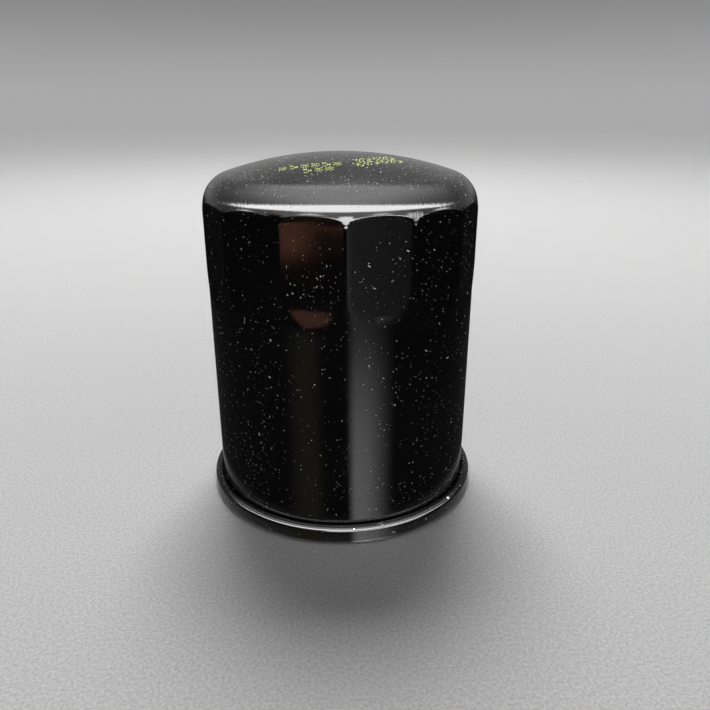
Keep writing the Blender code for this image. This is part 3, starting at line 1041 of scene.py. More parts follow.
@dataclass(frozen=True)
class SetCompound(Finish):
    """A poured and set compound, with bubbles and flow marks."""

    name: str = "plastisol"
    colour: Colour = (0.52, 0.16, 0.05, 1.0)
    dark: Colour = (0.34, 0.09, 0.025, 1.0)
    gloss: float = 0.38
    bump: float = 0.06 * MM

    def surface(self, graph: Graph, shader: bpy.types.Node) -> None:
        """Builds the compound from its flow and its bubbles."""
        here = graph.place()
        flow = MOTTLE.put(graph, vector=here, scale=110.0)["Value"]
        drops = SPECKS.put(graph, vector=here, scale=700.0, size=0.24, share=0.3, drift=0.6)["Mask"]
        colour = graph.blend(flow, self.colour, self.dark)
        colour = graph.blend(drops * 0.5, colour, self.dark)
        graph.coat(shader, colour, self.gloss + flow * 0.25, flow - drops, self.bump, 0.8)


@dataclass(frozen=True)
class Ink(Finish):
    """Thick opaque marking ink, a little worn."""

    name: str = "marking_ink"
    colour: Colour = (0.42, 0.55, 0.10, 1.0)
    pale: Colour = (0.66, 0.72, 0.26, 1.0)
    bump: float = 0.01 * MM

    def surface(self, graph: Graph, shader: bpy.types.Node) -> None:
        """Builds the ink from thin and thick places."""
        worn = MOTTLE.put(graph, vector=graph.place(), scale=420.0)["Value"]
        colour = graph.blend(worn, self.colour, self.pale)
        graph.coat(shader, colour, 0.45 + worn * 0.25, worn, self.bump, 0.6)


CAN_PAINT = BlackPaint()
LID_PAINT = BlackPaint(
    name="black_paint_seam",
    crown_low=90.0 * MM,
    crown_high=95.0 * MM,
    gloss=0.09,
    chip_low=3.7 * MM,
    chip_high=4.35 * MM,
    chip_share=1.0,
    draw_lines=0.0,
)
NITRILE = Rubber()
SILICONE = Rubber(
    name="valve_silicone",
    colour=(0.30, 0.055, 0.025, 1.0),
    bloom_colour=(0.42, 0.16, 0.11, 1.0),
    bloom=0.4,
    gloss=0.36,
)
ZINC = PlatedPlate()
TINPLATE = SheetMetal()
SPRING_STEEL = SheetMetal(
    name="spring_steel",
    colour=(0.34, 0.36, 0.40, 1.0),
    stain=(0.26, 0.22, 0.20, 1.0),
    gloss=0.26,
    lines=(2600.0, 2600.0, 120.0),
)
PAPER = FilterPaper()
PLASTISOL = SetCompound()
SEAM_SEALANT = SetCompound(
    name="seam_compound", colour=(0.12, 0.13, 0.14, 1.0), dark=(0.06, 0.065, 0.07, 1.0), gloss=0.5
)
MARKING_INK = Ink()


# ---- assembly ----------------------------------------------------------------------------------


def install(
    piece: Object, body: Body, slot: str, finish: Finish, *nodes: str, smooth: float = 38.0
) -> Object:
    """Smooths and dresses a finished piece, sets it on its body and hides what it stands for.

    Args:
        piece: The object.
        body: The body it moves with.
        slot: The record's material slot; not used.
        finish: Its finish.
        *nodes: The CAD nodes it stands for.
        smooth: Edges sharper than this, in degrees, stay sharp.

    Returns:
        The object.
    """
    shade(piece, smooth)
    finish.dress(piece)
    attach(piece, body.value)
    if nodes:
        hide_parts(*nodes)
    log.info("%s: %d faces, rides on %s", piece.name, len(piece.data.polygons), body.value)
    return piece


@dataclass
class Can:
    """The drawn can: dome, shoulder, wrench flats, wall and the body hook of the seam."""

    top: float = field(default_factory=lambda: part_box("can")[1].z)
    radius: float = 32.5 * MM
    wall: float = 0.5 * MM
    crown_radius: float = 87.0 * MM
    shoulder: float = 7.5 * MM
    flats: int = 14
    ridge: float = 32.8 * MM
    foot: float = 51.2 * MM
    foot_rise: float = 3.5 * MM
    runout: float = 5.0 * MM
    fold_bottom: float = 1.25 * MM
    hook_inner: float = 33.4 * MM
    hook_top: float = 3.1 * MM
    ridge_round: float = 0.34 * MM
    brow_low: float = 72.5 * MM
    brow_rise: float = 1.75 * MM
    brow_step: float = 0.8 * MM
    lip: float = 0.055 * MM
    lip_width: float = 0.4 * MM
    hook_bend: float = 0.25 * MM
    row_groups: tuple[tuple[float, int], ...] = ((0.16 * MM, 13), (0.9 * MM, 12), (0.32 * MM, 33))
    wall_rows: tuple[float, ...] = (48.0, 42.0, 36.0, 30.0, 24.0, 18.0, 12.0, 7.0)

    def crown(self, inset: float, fine: int, coarse: int, rings: int) -> list[Ring]:
        """The dome and shoulder, from near the apex down to the wall.

        Args:
            inset: How far inside the outer face.
            fine: Chords of the shoulder beside the wall, where the flats run out.
            coarse: Chords of the rest of the shoulder.
            rings: Rings of the dome.

        Returns:
            Radius and height pairs.
        """
        centre = self.top - self.crown_radius
        axis = self.radius - self.shoulder
        reach = self.crown_radius - self.shoulder
        level = centre + math.sqrt(reach**2 - axis**2)
        end = 90.0 - math.degrees(math.asin(axis / reach))
        path = arc_path((0.0, centre), self.crown_radius - inset, 90.0, end, rings)
        path[0] = (0.0, self.top - inset)
        path += arc_path((axis, level), self.shoulder - inset, end, 30.0, coarse)[1:]
        path += arc_path((axis, level), self.shoulder - inset, 30.0, 0.0, fine)[1:]
        self.level = level
        self.axis = axis
        return path

    def press(self, place: Vector) -> Vector:
        """Moves one point on to the wrench flats, each with a round foot and an arched brow."""
        radius = place.xy.length
        height = place.z
        if radius < self.axis or height < self.foot - self.runout:
            return place
        half = math.pi / self.flats
        apothem = self.ridge * math.cos(half)
        turn = math.atan2(place.y, place.x)
        off = (turn + half) % (2 * half) - half
        inset = self.wall if radius < self.radius - self.wall / 2 and height < self.level else 0.0
        if height >= self.level:
            inset = self.shoulder - math.hypot(radius - self.axis, height - self.level)
        share = min(1.0, abs(off) / half)
        own = apothem / math.cos(off)
        next_flat = apothem / math.cos(2 * half - abs(off))
        flat = soft_least(own, next_flat, self.ridge_round) - inset
        arch = math.sqrt(1.0 - share**2)
        foot = self.foot + self.foot_rise * (1.0 - arch)
        brow = self.brow_low + self.brow_rise * arch
        pressed = smooth_step((height - foot) / self.runout)
        pressed *= smooth_step((brow + self.brow_step - height) / self.brow_step)
        crest = (height - brow - 0.8 * self.brow_step) / self.lip_width
        new = radius + (flat - radius) * pressed + self.lip * math.exp(-crest * crest)
        return Vector((place.x * new / radius, place.y * new / radius, height))

    def build(self) -> Object:
        """Makes the can."""
        inner = self.radius - self.wall
        outer_path = self.crown(0.0, 26, 16, 14)
        inner_path = self.crown(self.wall, 10, 8, 8)
        rows = [self.level]
        for spacing, count in self.row_groups:
            start = rows[-1]
            rows += [start - spacing * step for step in range(1, count + 1)]
        rows += [height * MM for height in self.wall_rows]
        work = Turning("can_shell", Sides.CAN, outer_path[0])
        work.along(outer_path[1:])
        work.along([(self.radius, height) for height in rows[1:]])
        bend = self.hook_bend
        top = self.fold_bottom + self.wall
        work.along([(self.radius, top), (self.hook_inner, top), (self.hook_inner, self.hook_top)])
        outer = self.hook_inner + self.wall
        work.along(
            [
                (outer, self.hook_top), (outer, self.fold_bottom + bend),
                (outer - bend, self.fold_bottom)
            ]
        )
        work.along([(inner + bend, self.fold_bottom), (inner, self.fold_bottom + bend)])
        inner_rows = [7.0 * MM, 30.0 * MM, 48.0 * MM]
        inner_rows += [49.0 * MM + 1.1 * MM * step for step in range(11)]
        inner_rows += [self.level - 8.0 * MM, self.level - 4.0 * MM]
        work.along([(inner, height) for height in inner_rows])
        work.along(list(reversed(inner_path)))
        piece = work.done()
        move_points(piece, self.press)
        return install(piece, Body.HOUSING, "black_paint", CAN_PAINT, "can", smooth=42.0)


@dataclass
class Mouth:
    """What closes the can's mouth: lid, seam compound, gasket and tapping plate."""

    seam_radius: float = field(default_factory=lambda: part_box("seaming_lid")[1].x)
    seam_bottom: float = field(default_factory=lambda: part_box("seaming_lid")[0].z)
    seam_top: float = 4.3 * MM
    lid_wall: float = 0.6 * MM
    layer_gap: float = 0.15 * MM
    can_radius: float = 32.5 * MM
    can_wall: float = 0.5 * MM
    lip_outer: float = 26.7 * MM
    lip_bottom: float = 2.6 * MM
    roof: float = 5.35 * MM
    bend: float = 1.1 * MM
    low_bend: float = 0.5 * MM
    gasket_inner: float = 27.0 * MM
    gasket_outer: float = 31.0 * MM
    gasket_top: float = 5.2 * MM
    plate_bottom: float = 6.1 * MM
    plate_top: float = 9.1 * MM
    plate_radius: float = 30.8 * MM
    collar: float = 12.2 * MM
    collar_top: float = 13.1 * MM
    thread_minor: float = 9.19 * MM
    thread_depth: float = 0.81 * MM
    thread_pitch: float = 1.5 * MM
    inlets: int = 8
    inlet_radius: float = 2.75 * MM
    inlet_circle: float = 19.0 * MM
    pucker: float = 0.05 * MM
    curl_edge: Ring = (32.6 * MM, 33.9 * MM)
    curl_low: float = 3.75 * MM
    waves: tuple[tuple[int, float, float], ...] = (
        (7, 0.30, 0.4), (19, 0.25, 1.9), (43, 0.22, 0.2), (71, 0.16, 2.6), (97, 0.07, 1.1)
    )
    thread_near: float = 0.02 * MM
    thread_flat: float = 0.0625
    thread_flank: float = 0.34
    thread_fade: float = 0.3 * MM
    thread_start: float = 0.95 * MM
    thread_end: float = 0.35 * MM
    thread_rows: int = 44

    def pucker_curl(self, place: Vector) -> Vector:
        """Lets the curl's inner edge wander a little, as a rolled seam's does."""
        radius = place.xy.length
        if not self.curl_edge[0] <= radius <= self.curl_edge[1] or place.z < self.curl_low:
            return place
        turn = math.atan2(place.y, place.x)
        wander = sum(size * math.sin(count * turn + start) for count, size, start in self.waves)
        drop = self.pucker * (0.55 + 0.45 * math.sin(3 * turn + 0.9)) * wander
        return Vector((place.x, place.y, place.z + min(0.0, drop - 0.35 * self.pucker)))

    def build_lid(self) -> Object:
        """Makes the seaming lid: the seam's face and curl, the chuck wall and the channel."""
        face_inner = self.seam_radius - self.lid_wall
        floor_top = self.seam_bottom + self.lid_wall
        curl_under = self.seam_top - self.lid_wall
        hook_inner = self.can_radius + self.layer_gap
        hook_outer = hook_inner + self.lid_wall
        hook_bottom = floor_top + 2 * self.layer_gap + self.can_wall
        chuck_outer = self.can_radius - self.can_wall - self.layer_gap
        chuck_inner = chuck_outer - self.lid_wall
        lip_inner = self.lip_outer - self.lid_wall
        roof_top = self.roof + self.lid_wall
        b = self.bend
        section = arc_path((self.seam_radius - b, self.seam_top - b), b, 0.0, 90.0, 9)
        section += arc_path(
            (hook_inner + self.lid_wall, self.seam_top - self.lid_wall), self.lid_wall, 90.0, 180.0,
            7
        )
        section += [(hook_inner, hook_bottom), (hook_outer, hook_bottom), (hook_outer, curl_under)]
        section += [(face_inner, curl_under), (face_inner, floor_top), (chuck_outer, floor_top)]
        section += arc_path((chuck_outer - 0.5 * MM, roof_top - 0.5 * MM), 0.5 * MM, 0.0, 90.0, 4)
        section += [(lip_inner, roof_top), (lip_inner, self.lip_bottom + 0.2 * MM)]
        section += [
            (lip_inner + 0.2 * MM, self.lip_bottom), (self.lip_outer - 0.2 * MM, self.lip_bottom)
        ]
        section += [(self.lip_outer, self.lip_bottom + 0.2 * MM), (self.lip_outer, self.roof)]
        section += [(chuck_inner - 0.3 * MM, self.roof), (chuck_inner, self.roof - 0.3 * MM)]
        b = self.low_bend
        section += arc_path((chuck_inner + b, self.seam_bottom + b), b, 180.0, 270.0, 8)
        section += arc_path((self.seam_radius - b, self.seam_bottom + b), b, 270.0, 360.0, 9)
        piece = turned("seaming_ring", Sides.SEAM, section)
        move_points(piece, self.pucker_curl)
        return install(piece, Body.HOUSING, "black_paint", LID_PAINT, "seaming_lid", smooth=40.0)

    def build_compound(self) -> Object:
        """Makes the sealing compound in the seam's upper fold."""
        inner = self.can_radius + 2 * self.layer_gap + self.lid_wall
        outer = inner + self.can_wall
        low = 3.2 * MM
        high = self.seam_top - self.lid_wall - 0.1 * MM
        bead = (high - low) / 2
        section = [(outer - 0.1 * MM, high), (inner + 0.1 * MM, high), (inner, high - 0.1 * MM)]
        section += [(inner, low + 0.1 * MM), (inner + 0.1 * MM, low), (outer - 0.1 * MM, low)]
        section += [
            (outer, low + 0.1 * MM), (outer - 0.04 * MM, low + bead), (outer, high - 0.1 * MM)
        ]
        piece = turned("seam_bead", Sides.WIDE, section)
        return install(piece, Body.HOUSING, "compound", SEAM_SEALANT, "seam_compound")

    def build_gasket(self) -> Object:
        """Makes the gasket, with round edges, two face grooves and its parting lines."""
        edge = 0.55 * MM
        line = 0.05 * MM
        middle = self.gasket_top * 0.55
        section = [
            (self.gasket_outer - 0.1 * MM, self.gasket_top),
            (self.gasket_inner + 0.1 * MM, self.gasket_top)
        ]
        section += [
            (self.gasket_inner, self.gasket_top - 0.1 * MM), (self.gasket_inner, middle + line)
        ]
        section += [(self.gasket_inner + line, middle), (self.gasket_inner, middle - line)]
        section += arc_path((self.gasket_inner + edge, edge), edge, 180.0, 270.0, 6)
        for radius in (28.3 * MM, 29.7 * MM):
            groove = 0.12 * MM
            section += [(radius - groove, 0.0), (radius - groove / 2, groove)]
            section += [(radius + groove / 2, groove), (radius + groove, 0.0)]
        section += arc_path((self.gasket_outer - edge, edge), edge, 270.0, 360.0, 6)
        section += [(self.gasket_outer, middle - line), (self.gasket_outer - line, middle)]
        section += [
            (self.gasket_outer, middle + line), (self.gasket_outer, self.gasket_top - 0.1 * MM)
        ]
        piece = turned("gasket_ring", Sides.WIDE, section)
        return install(piece, Body.HOUSING, "nitrile", NITRILE, "sealing_gasket", smooth=34.0)

    def cut_thread(self, place: Vector) -> Vector:
        """Moves a point of the bore out to the thread's helix."""
        radius = place.xy.length
        if abs(radius - self.thread_minor) > self.thread_near:
            return place
        turn = math.atan2(place.y, place.x) / FULL_TURN
        phase = (place.z / self.thread_pitch - turn) % 1.0
        off_crest = 0.5 - abs(phase - 0.5) - self.thread_flat
        flank = min(1.0, max(0.0, off_crest / self.thread_flank))
        run_out = smooth_step((self.collar_top - self.thread_end - place.z) / self.thread_fade)
        run_in = smooth_step((place.z - self.plate_bottom - self.thread_start) / self.thread_fade)
        new = radius + self.thread_depth * flank * run_out * run_in
        return Vector((place.x * new / radius, place.y * new / radius, place.z))

    def build_plate(self) -> Object:
        """Makes the tapping plate: threaded collar, oil inlets and rounded rims."""
        lead = self.thread_minor + self.thread_depth + 0.4 * MM
        lead_top = self.plate_bottom + lead - self.thread_minor
        rim = 0.25 * MM
        section = [
            (self.plate_radius, self.plate_top - rim), (self.plate_radius - rim, self.plate_top)
        ]
        section += [(self.collar + 1.0 * MM, self.plate_top)]
        section += arc_path(
            (self.collar + 1.0 * MM, self.plate_top + 1.0 * MM), 1.0 * MM, 270.0, 180.0, 6
        )[1:]
        section += [
            (self.collar, self.collar_top - 0.3 * MM), (self.collar - 0.3 * MM, self.collar_top)
        ]
        section += [
            (self.thread_minor + 0.3 * MM, self.collar_top),
            (self.thread_minor, self.collar_top - 0.3 * MM)
        ]
        rows = self.thread_rows
        high = self.collar_top - 0.3 * MM
        section += [
            (self.thread_minor, high + (lead_top - high) * row / rows) for row in range(1, rows + 1)
        ]
        section += [(lead, self.plate_bottom), (self.plate_radius - rim, self.plate_bottom)]
        section += [(self.plate_radius, self.plate_bottom + rim)]
        piece = turned("threaded_plate", Sides.MIDDLE, section)
        move_points(piece, self.cut_thread)
        middle = (self.plate_bottom + self.plate_top) / 2
        half = (self.plate_top - self.plate_bottom) / 2
        pose = Matrix.Translation((self.inlet_circle, 0.0, middle))
        drills = copy_round(flared_cutter(self.inlet_radius, 0.3 * MM, half, pose), self.inlets)
        carve(piece, join_pieces(drills))
        return install(piece, Body.HOUSING, "zinc_steel", ZINC, "tapping_plate", smooth=30.0)

    def build(self) -> None:
        """Makes every piece of the mouth."""
        self.build_lid()
        self.build_compound()
        self.build_gasket()
        self.build_plate()


@dataclass
class AntiDrainValve:
    """The rubber membrane whose lip covers the oil inlets."""

    collar: float = 12.2 * MM
    rest: float = 9.25 * MM
    radius: float = field(default_factory=lambda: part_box("anti_drain_valve")[1].x)

    def build(self) -> Object:
        """Makes the membrane: a beaded neck and a thin lip with one fold."""
        inner = self.collar + 0.3 * MM
        outer = inner + 1.5 * MM
        rest = self.rest
        neck = rest + 2.85 * MM
        section = [(self.radius, rest + 0.75 * MM), (self.radius - 0.25 * MM, rest + 0.9 * MM)]
        section += [
            (20.6 * MM, rest + 1.0 * MM), (19.6 * MM, rest + 1.35 * MM),
            (18.2 * MM, rest + 1.4 * MM)
        ]
        section += [
            (17.0 * MM, rest + 1.5 * MM), (outer + 0.6 * MM, rest + 1.9 * MM),
            (outer, rest + 2.2 * MM)
        ]
        section += [(outer, neck - 0.3 * MM), (outer - 0.3 * MM, neck), (inner + 0.3 * MM, neck)]
        section += [
            (inner, neck - 0.3 * MM), (inner, rest + 1.5 * MM), (inner + 0.3 * MM, rest + 1.2 * MM)
        ]
        section += [
            (outer, rest + 1.0 * MM), (17.0 * MM, rest + 0.7 * MM), (18.6 * MM, rest + 0.62 * MM)
        ]
        section += [(19.6 * MM, rest + 0.5 * MM), (20.6 * MM, rest + 0.18 * MM), (22.6 * MM, rest)]
        section += [(self.radius - 0.15 * MM, rest), (self.radius, rest + 0.15 * MM)]
        piece = turned("drain_membrane", Sides.MIDDLE, section)
        apply_modifier(piece, "SUBSURF", levels=1, render_levels=1)
        return install(
            piece, Body.MEMBRANE, "valve_rubber", SILICONE, "anti_drain_valve", smooth=50.0
        )


@dataclass
class Element:
    """The filter element: seal ring, end caps, potting, pleated paper, clip and centre tube."""

    cap_radius: float = 29.4 * MM
    cap_wall: float = 0.5 * MM
    cap_rim: float = 4.0 * MM
    low: float = 13.6 * MM
    step: float = 1.1 * MM
    high: float = 74.4 * MM
    tube_inner: float = 12.0 * MM
    tube_outer: float = 12.5 * MM
    hole_radius: float = 1.75 * MM
    hole_rows: int = 4
    holes_in_row: int = 8
    pleats: int = 40
    pleat_inner: float = 13.6 * MM
    pleat_outer: float = 28.0 * MM
    paper: float = 0.6 * MM
    fold: float = 0.45 * MM
    paper_low: float = 16.3 * MM
    paper_high: float = 71.7 * MM
    beads: Ring = (17.0 * MM, 24.0 * MM)
    bead_foot: float = 0.9 * MM
    bead_crest: float = 0.4 * MM
    bead_rise: float = 0.18 * MM

    def build_seal(self) -> Object:
        """Makes the rubber ring between the collar and the lower cap."""
        low, high, inner, outer = 13.25 * MM, 14.55 * MM, 10.0 * MM, 12.2 * MM
        r = 0.3 * MM
        section = arc_path((outer - r, high - r), r, 0.0, 90.0, 4) + arc_path(
            (inner + r, high - r), r, 90.0, 180.0, 4
        )
        section += arc_path((inner + r, low + r), r, 180.0, 270.0, 4)
        section += arc_path((outer - r, low + r), r, 270.0, 360.0, 4)
        piece = turned("seal_ring", Sides.MIDDLE, section)
        return install(piece, Body.HOUSING, "nitrile", NITRILE, "element_seal_ring")

    def bead(self, radius: float, face: float, rise: float) -> list[Ring]:
        """The corners of a cap's stiffening bead, from its inner edge outwards.

        Args:
            radius: The bead's middle.
            face: The height of the cap's face.
            rise: How far the bead stands above it.

        Returns:
            Four radius and height pairs.
        """
        foot, crest = self.bead_foot, self.bead_crest
        top = face + rise
        return [
            (radius - foot, face), (radius - crest, top), (radius + crest, top),
            (radius + foot, face)
        ]

    def build_caps(self) -> None:
        """Makes the two pressed end caps, with a stiffening bead in each."""
        rim_inner = self.cap_radius - self.cap_wall
        top = self.low + self.cap_wall
        flange_low = self.low + self.step
        flange_high = flange_low + self.cap_wall
        step_inner = self.tube_outer + 0.9 * MM
        step_outer = step_inner + self.cap_wall
        c = 0.2 * MM
        section = [(self.cap_radius, self.low + self.cap_rim), (rim_inner, self.low + self.cap_rim)]
        section += [
            (rim_inner, top + c), (rim_inner - c, top), (step_outer + c, top), (step_outer, top + c)
        ]
        section += [
            (step_outer, flange_high - c), (step_outer - c, flange_high), (10.6 * MM, flange_high)
        ]
        section += [
            (10.6 * MM, flange_low), (step_inner - c, flange_low), (step_inner, flange_low - c)
        ]
        section += [(step_inner, self.low + c), (step_inner + c, self.low)]
        for radius in self.beads:
            section += self.bead(radius, self.low, self.bead_rise)
        section += arc_path(
            (self.cap_radius - 0.5 * MM, self.low + 0.5 * MM), 0.5 * MM, 270.0, 360.0, 4
        )
        lower = turned("lower_cap", Sides.WIDE, section)
        install(lower, Body.HOUSING, "tinplate", TINPLATE, "lower_end_cap")
        inner = 10.0 * MM
        section = arc_path(
            (self.cap_radius - 0.5 * MM, self.high - 0.5 * MM), 0.5 * MM, 0.0, 90.0, 4
        )
        for radius in reversed(self.beads):
            section += reversed(self.bead(radius, self.high, -self.bead_rise))
        section += [
            (inner, self.high), (inner, self.high - self.cap_wall),
            (rim_inner - c, self.high - self.cap_wall)
        ]
        section += [
            (rim_inner, self.high - self.cap_wall - c), (rim_inner, self.high - self.cap_rim)
        ]
        section += [(self.cap_radius, self.high - self.cap_rim)]
        upper = turned("upper_cap", Sides.WIDE, section)
        install(upper, Body.HOUSING, "tinplate", TINPLATE, "upper_end_cap")

    def build_potting(self, name: str, node: str, inner: float, low: float) -> Object:
        """Makes one ring of potting compound, with its edges drawn up by the cap's walls.

        Args:
            name: The piece's name.
            node: The CAD node it stands for.
            inner: Its inner radius.
            low: Its lower face.

        Returns:
            The object.
        """
        outer = 28.6 * MM
        high = low + 1.6 * MM
        dip = 0.22 * MM
        section = [
            (outer, high), (outer - 0.5 * MM, high - 0.1 * MM), (outer - 1.4 * MM, high - dip)
        ]
        section += [
            (inner + 1.4 * MM, high - dip), (inner + 0.5 * MM, high - 0.1 * MM), (inner, high)
        ]
        section += [
            (inner, low + 0.2 * MM), (inner + 0.2 * MM, low), (outer - 0.2 * MM, low),
            (outer, low + 0.2 * MM)
        ]
        piece = turned(name, Sides.MIDDLE, section)
        return install(piece, Body.HOUSING, "plastisol", PLASTISOL, node)

    def pleat_path(self) -> list[Vector]:
        """The folded paper's centre line in plan, from one end leg to the other."""
        pitch = FULL_TURN / self.pleats
        path = [Vector((self.pleat_outer, 0.6 * MM, 0.0))]
        for number in range(self.pleats):
            for radius, turn, way in (
                (self.pleat_inner, (number + 0.5) * pitch, -1.0),
                (self.pleat_outer, (number + 1) * pitch, 1.0),
            ):
                if number == self.pleats - 1 and way > 0:
                    continue
                out = Vector((math.cos(turn), math.sin(turn), 0.0))
                along = Vector((-math.sin(turn), math.cos(turn), 0.0))
                heart = out * (radius - way * self.fold)
                for step in range(5):
                    bend = math.pi * (step / 4 - 0.5)
                    path.append(
                        heart + along * self.fold * math.sin(
                            bend
                        ) + out * way * self.fold * math.cos(bend)
                    )
        path.append(Vector((self.pleat_outer, -0.6 * MM, 0.0)))
        return path

    def build_paper(self) -> Object:
        """Makes the pleated paper: one line of folds, extruded up and given its thickness."""
        path = self.pleat_path()
        piece = start_point("pleated_paper", (path[0].x, path[0].y, self.paper_low))
        for start, end in zip(path, path[1:]):
            extrude(tuple(end - start))
        bpy.ops.mesh.select_all(action="SELECT")
        rows = 6
        for _ in range(rows):
            rise = (self.paper_high - self.paper_low) / rows
            extrude((0.0, 0.0, rise))
        close_edit()
        apply_modifier(
            piece, "SOLIDIFY", thickness=self.paper * 0.9, offset=0.0, use_even_offset=True
        )
        return install(piece, Body.HOUSING, "filter_paper", PAPER, "pleated_media", smooth=50.0)

    def build_clip(self) -> Object:
        """Makes the strip that grips the paper's two end legs."""
        wall, half, back, front = 0.3 * MM, 1.45 * MM, 28.15 * MM, 26.4 * MM
        middle = (self.paper_low + self.paper_high) / 2
        size = (wall, 2 * half, self.paper_high - self.paper_low)
        piece = block("paper_clip", size, (back + wall / 2, 0.0, middle))
        bpy.ops.object.mode_set(mode="EDIT")
        for way in (1.0, -1.0):
            select_points(piece, lambda place: place.y * way > half - WELD)
            extrude((0.0, way * wall, 0.0))
        bpy.ops.mesh.select_all(action="DESELECT")
        shape = bmesh.from_edit_mesh(piece.data)
        for face in shape.faces:
            if face.normal.x < -0.9 and abs(face.calc_center_median().y) > half:
                face.select_set(True)
        bmesh.update_edit_mesh(piece.data)
        extrude((front - back, 0.0, 0.0))
        close_edit()
        soften(piece, 0.08 * MM, 2, 40.0)
        return install(piece, Body.HOUSING, "tinplate", TINPLATE, "media_seam_clip")

    def build_tube(self) -> Object:
        """Makes the centre tube with its rows of round holes."""
        low, high = 15.5 * MM, 73.6 * MM
        section = [
            (self.tube_outer, high), (self.tube_inner, high), (self.tube_inner, low),
            (self.tube_outer, low)
        ]
        piece = turned("perforated_tube", Sides.MIDDLE, section)
        spacing = (high - low) / (self.hole_rows + 1)
        punches = []
        middle = (self.tube_inner + self.tube_outer) / 2
        for row in range(self.hole_rows):
            pose = Matrix.Translation(
                (middle, 0.0, low + spacing * (row + 1))
            ) @ Matrix.Rotation(math.pi / 2, 4, "Y")
            punch = flared_cutter(self.hole_radius, 0.1 * MM, 0.35 * MM, pose)
            start = FULL_TURN * 0.5 * (row % 2) / self.holes_in_row + 0.05
            punches += copy_round(punch, self.holes_in_row, start)
        carve(piece, join_pieces(punches))
        return install(piece, Body.HOUSING, "tinplate", TINPLATE, "centre_tube", smooth=30.0)

    def build(self) -> None:
        """Makes every piece of the element."""
        self.build_seal()
        self.build_caps()
        self.build_potting("lower_potting", "lower_potting_ring", 14.2 * MM, 14.4 * MM)
        self.build_paper()
        self.build_clip()
        self.build_tube()
        self.build_potting("upper_potting", "upper_potting_ring", 12.8 * MM, 72.0 * MM)


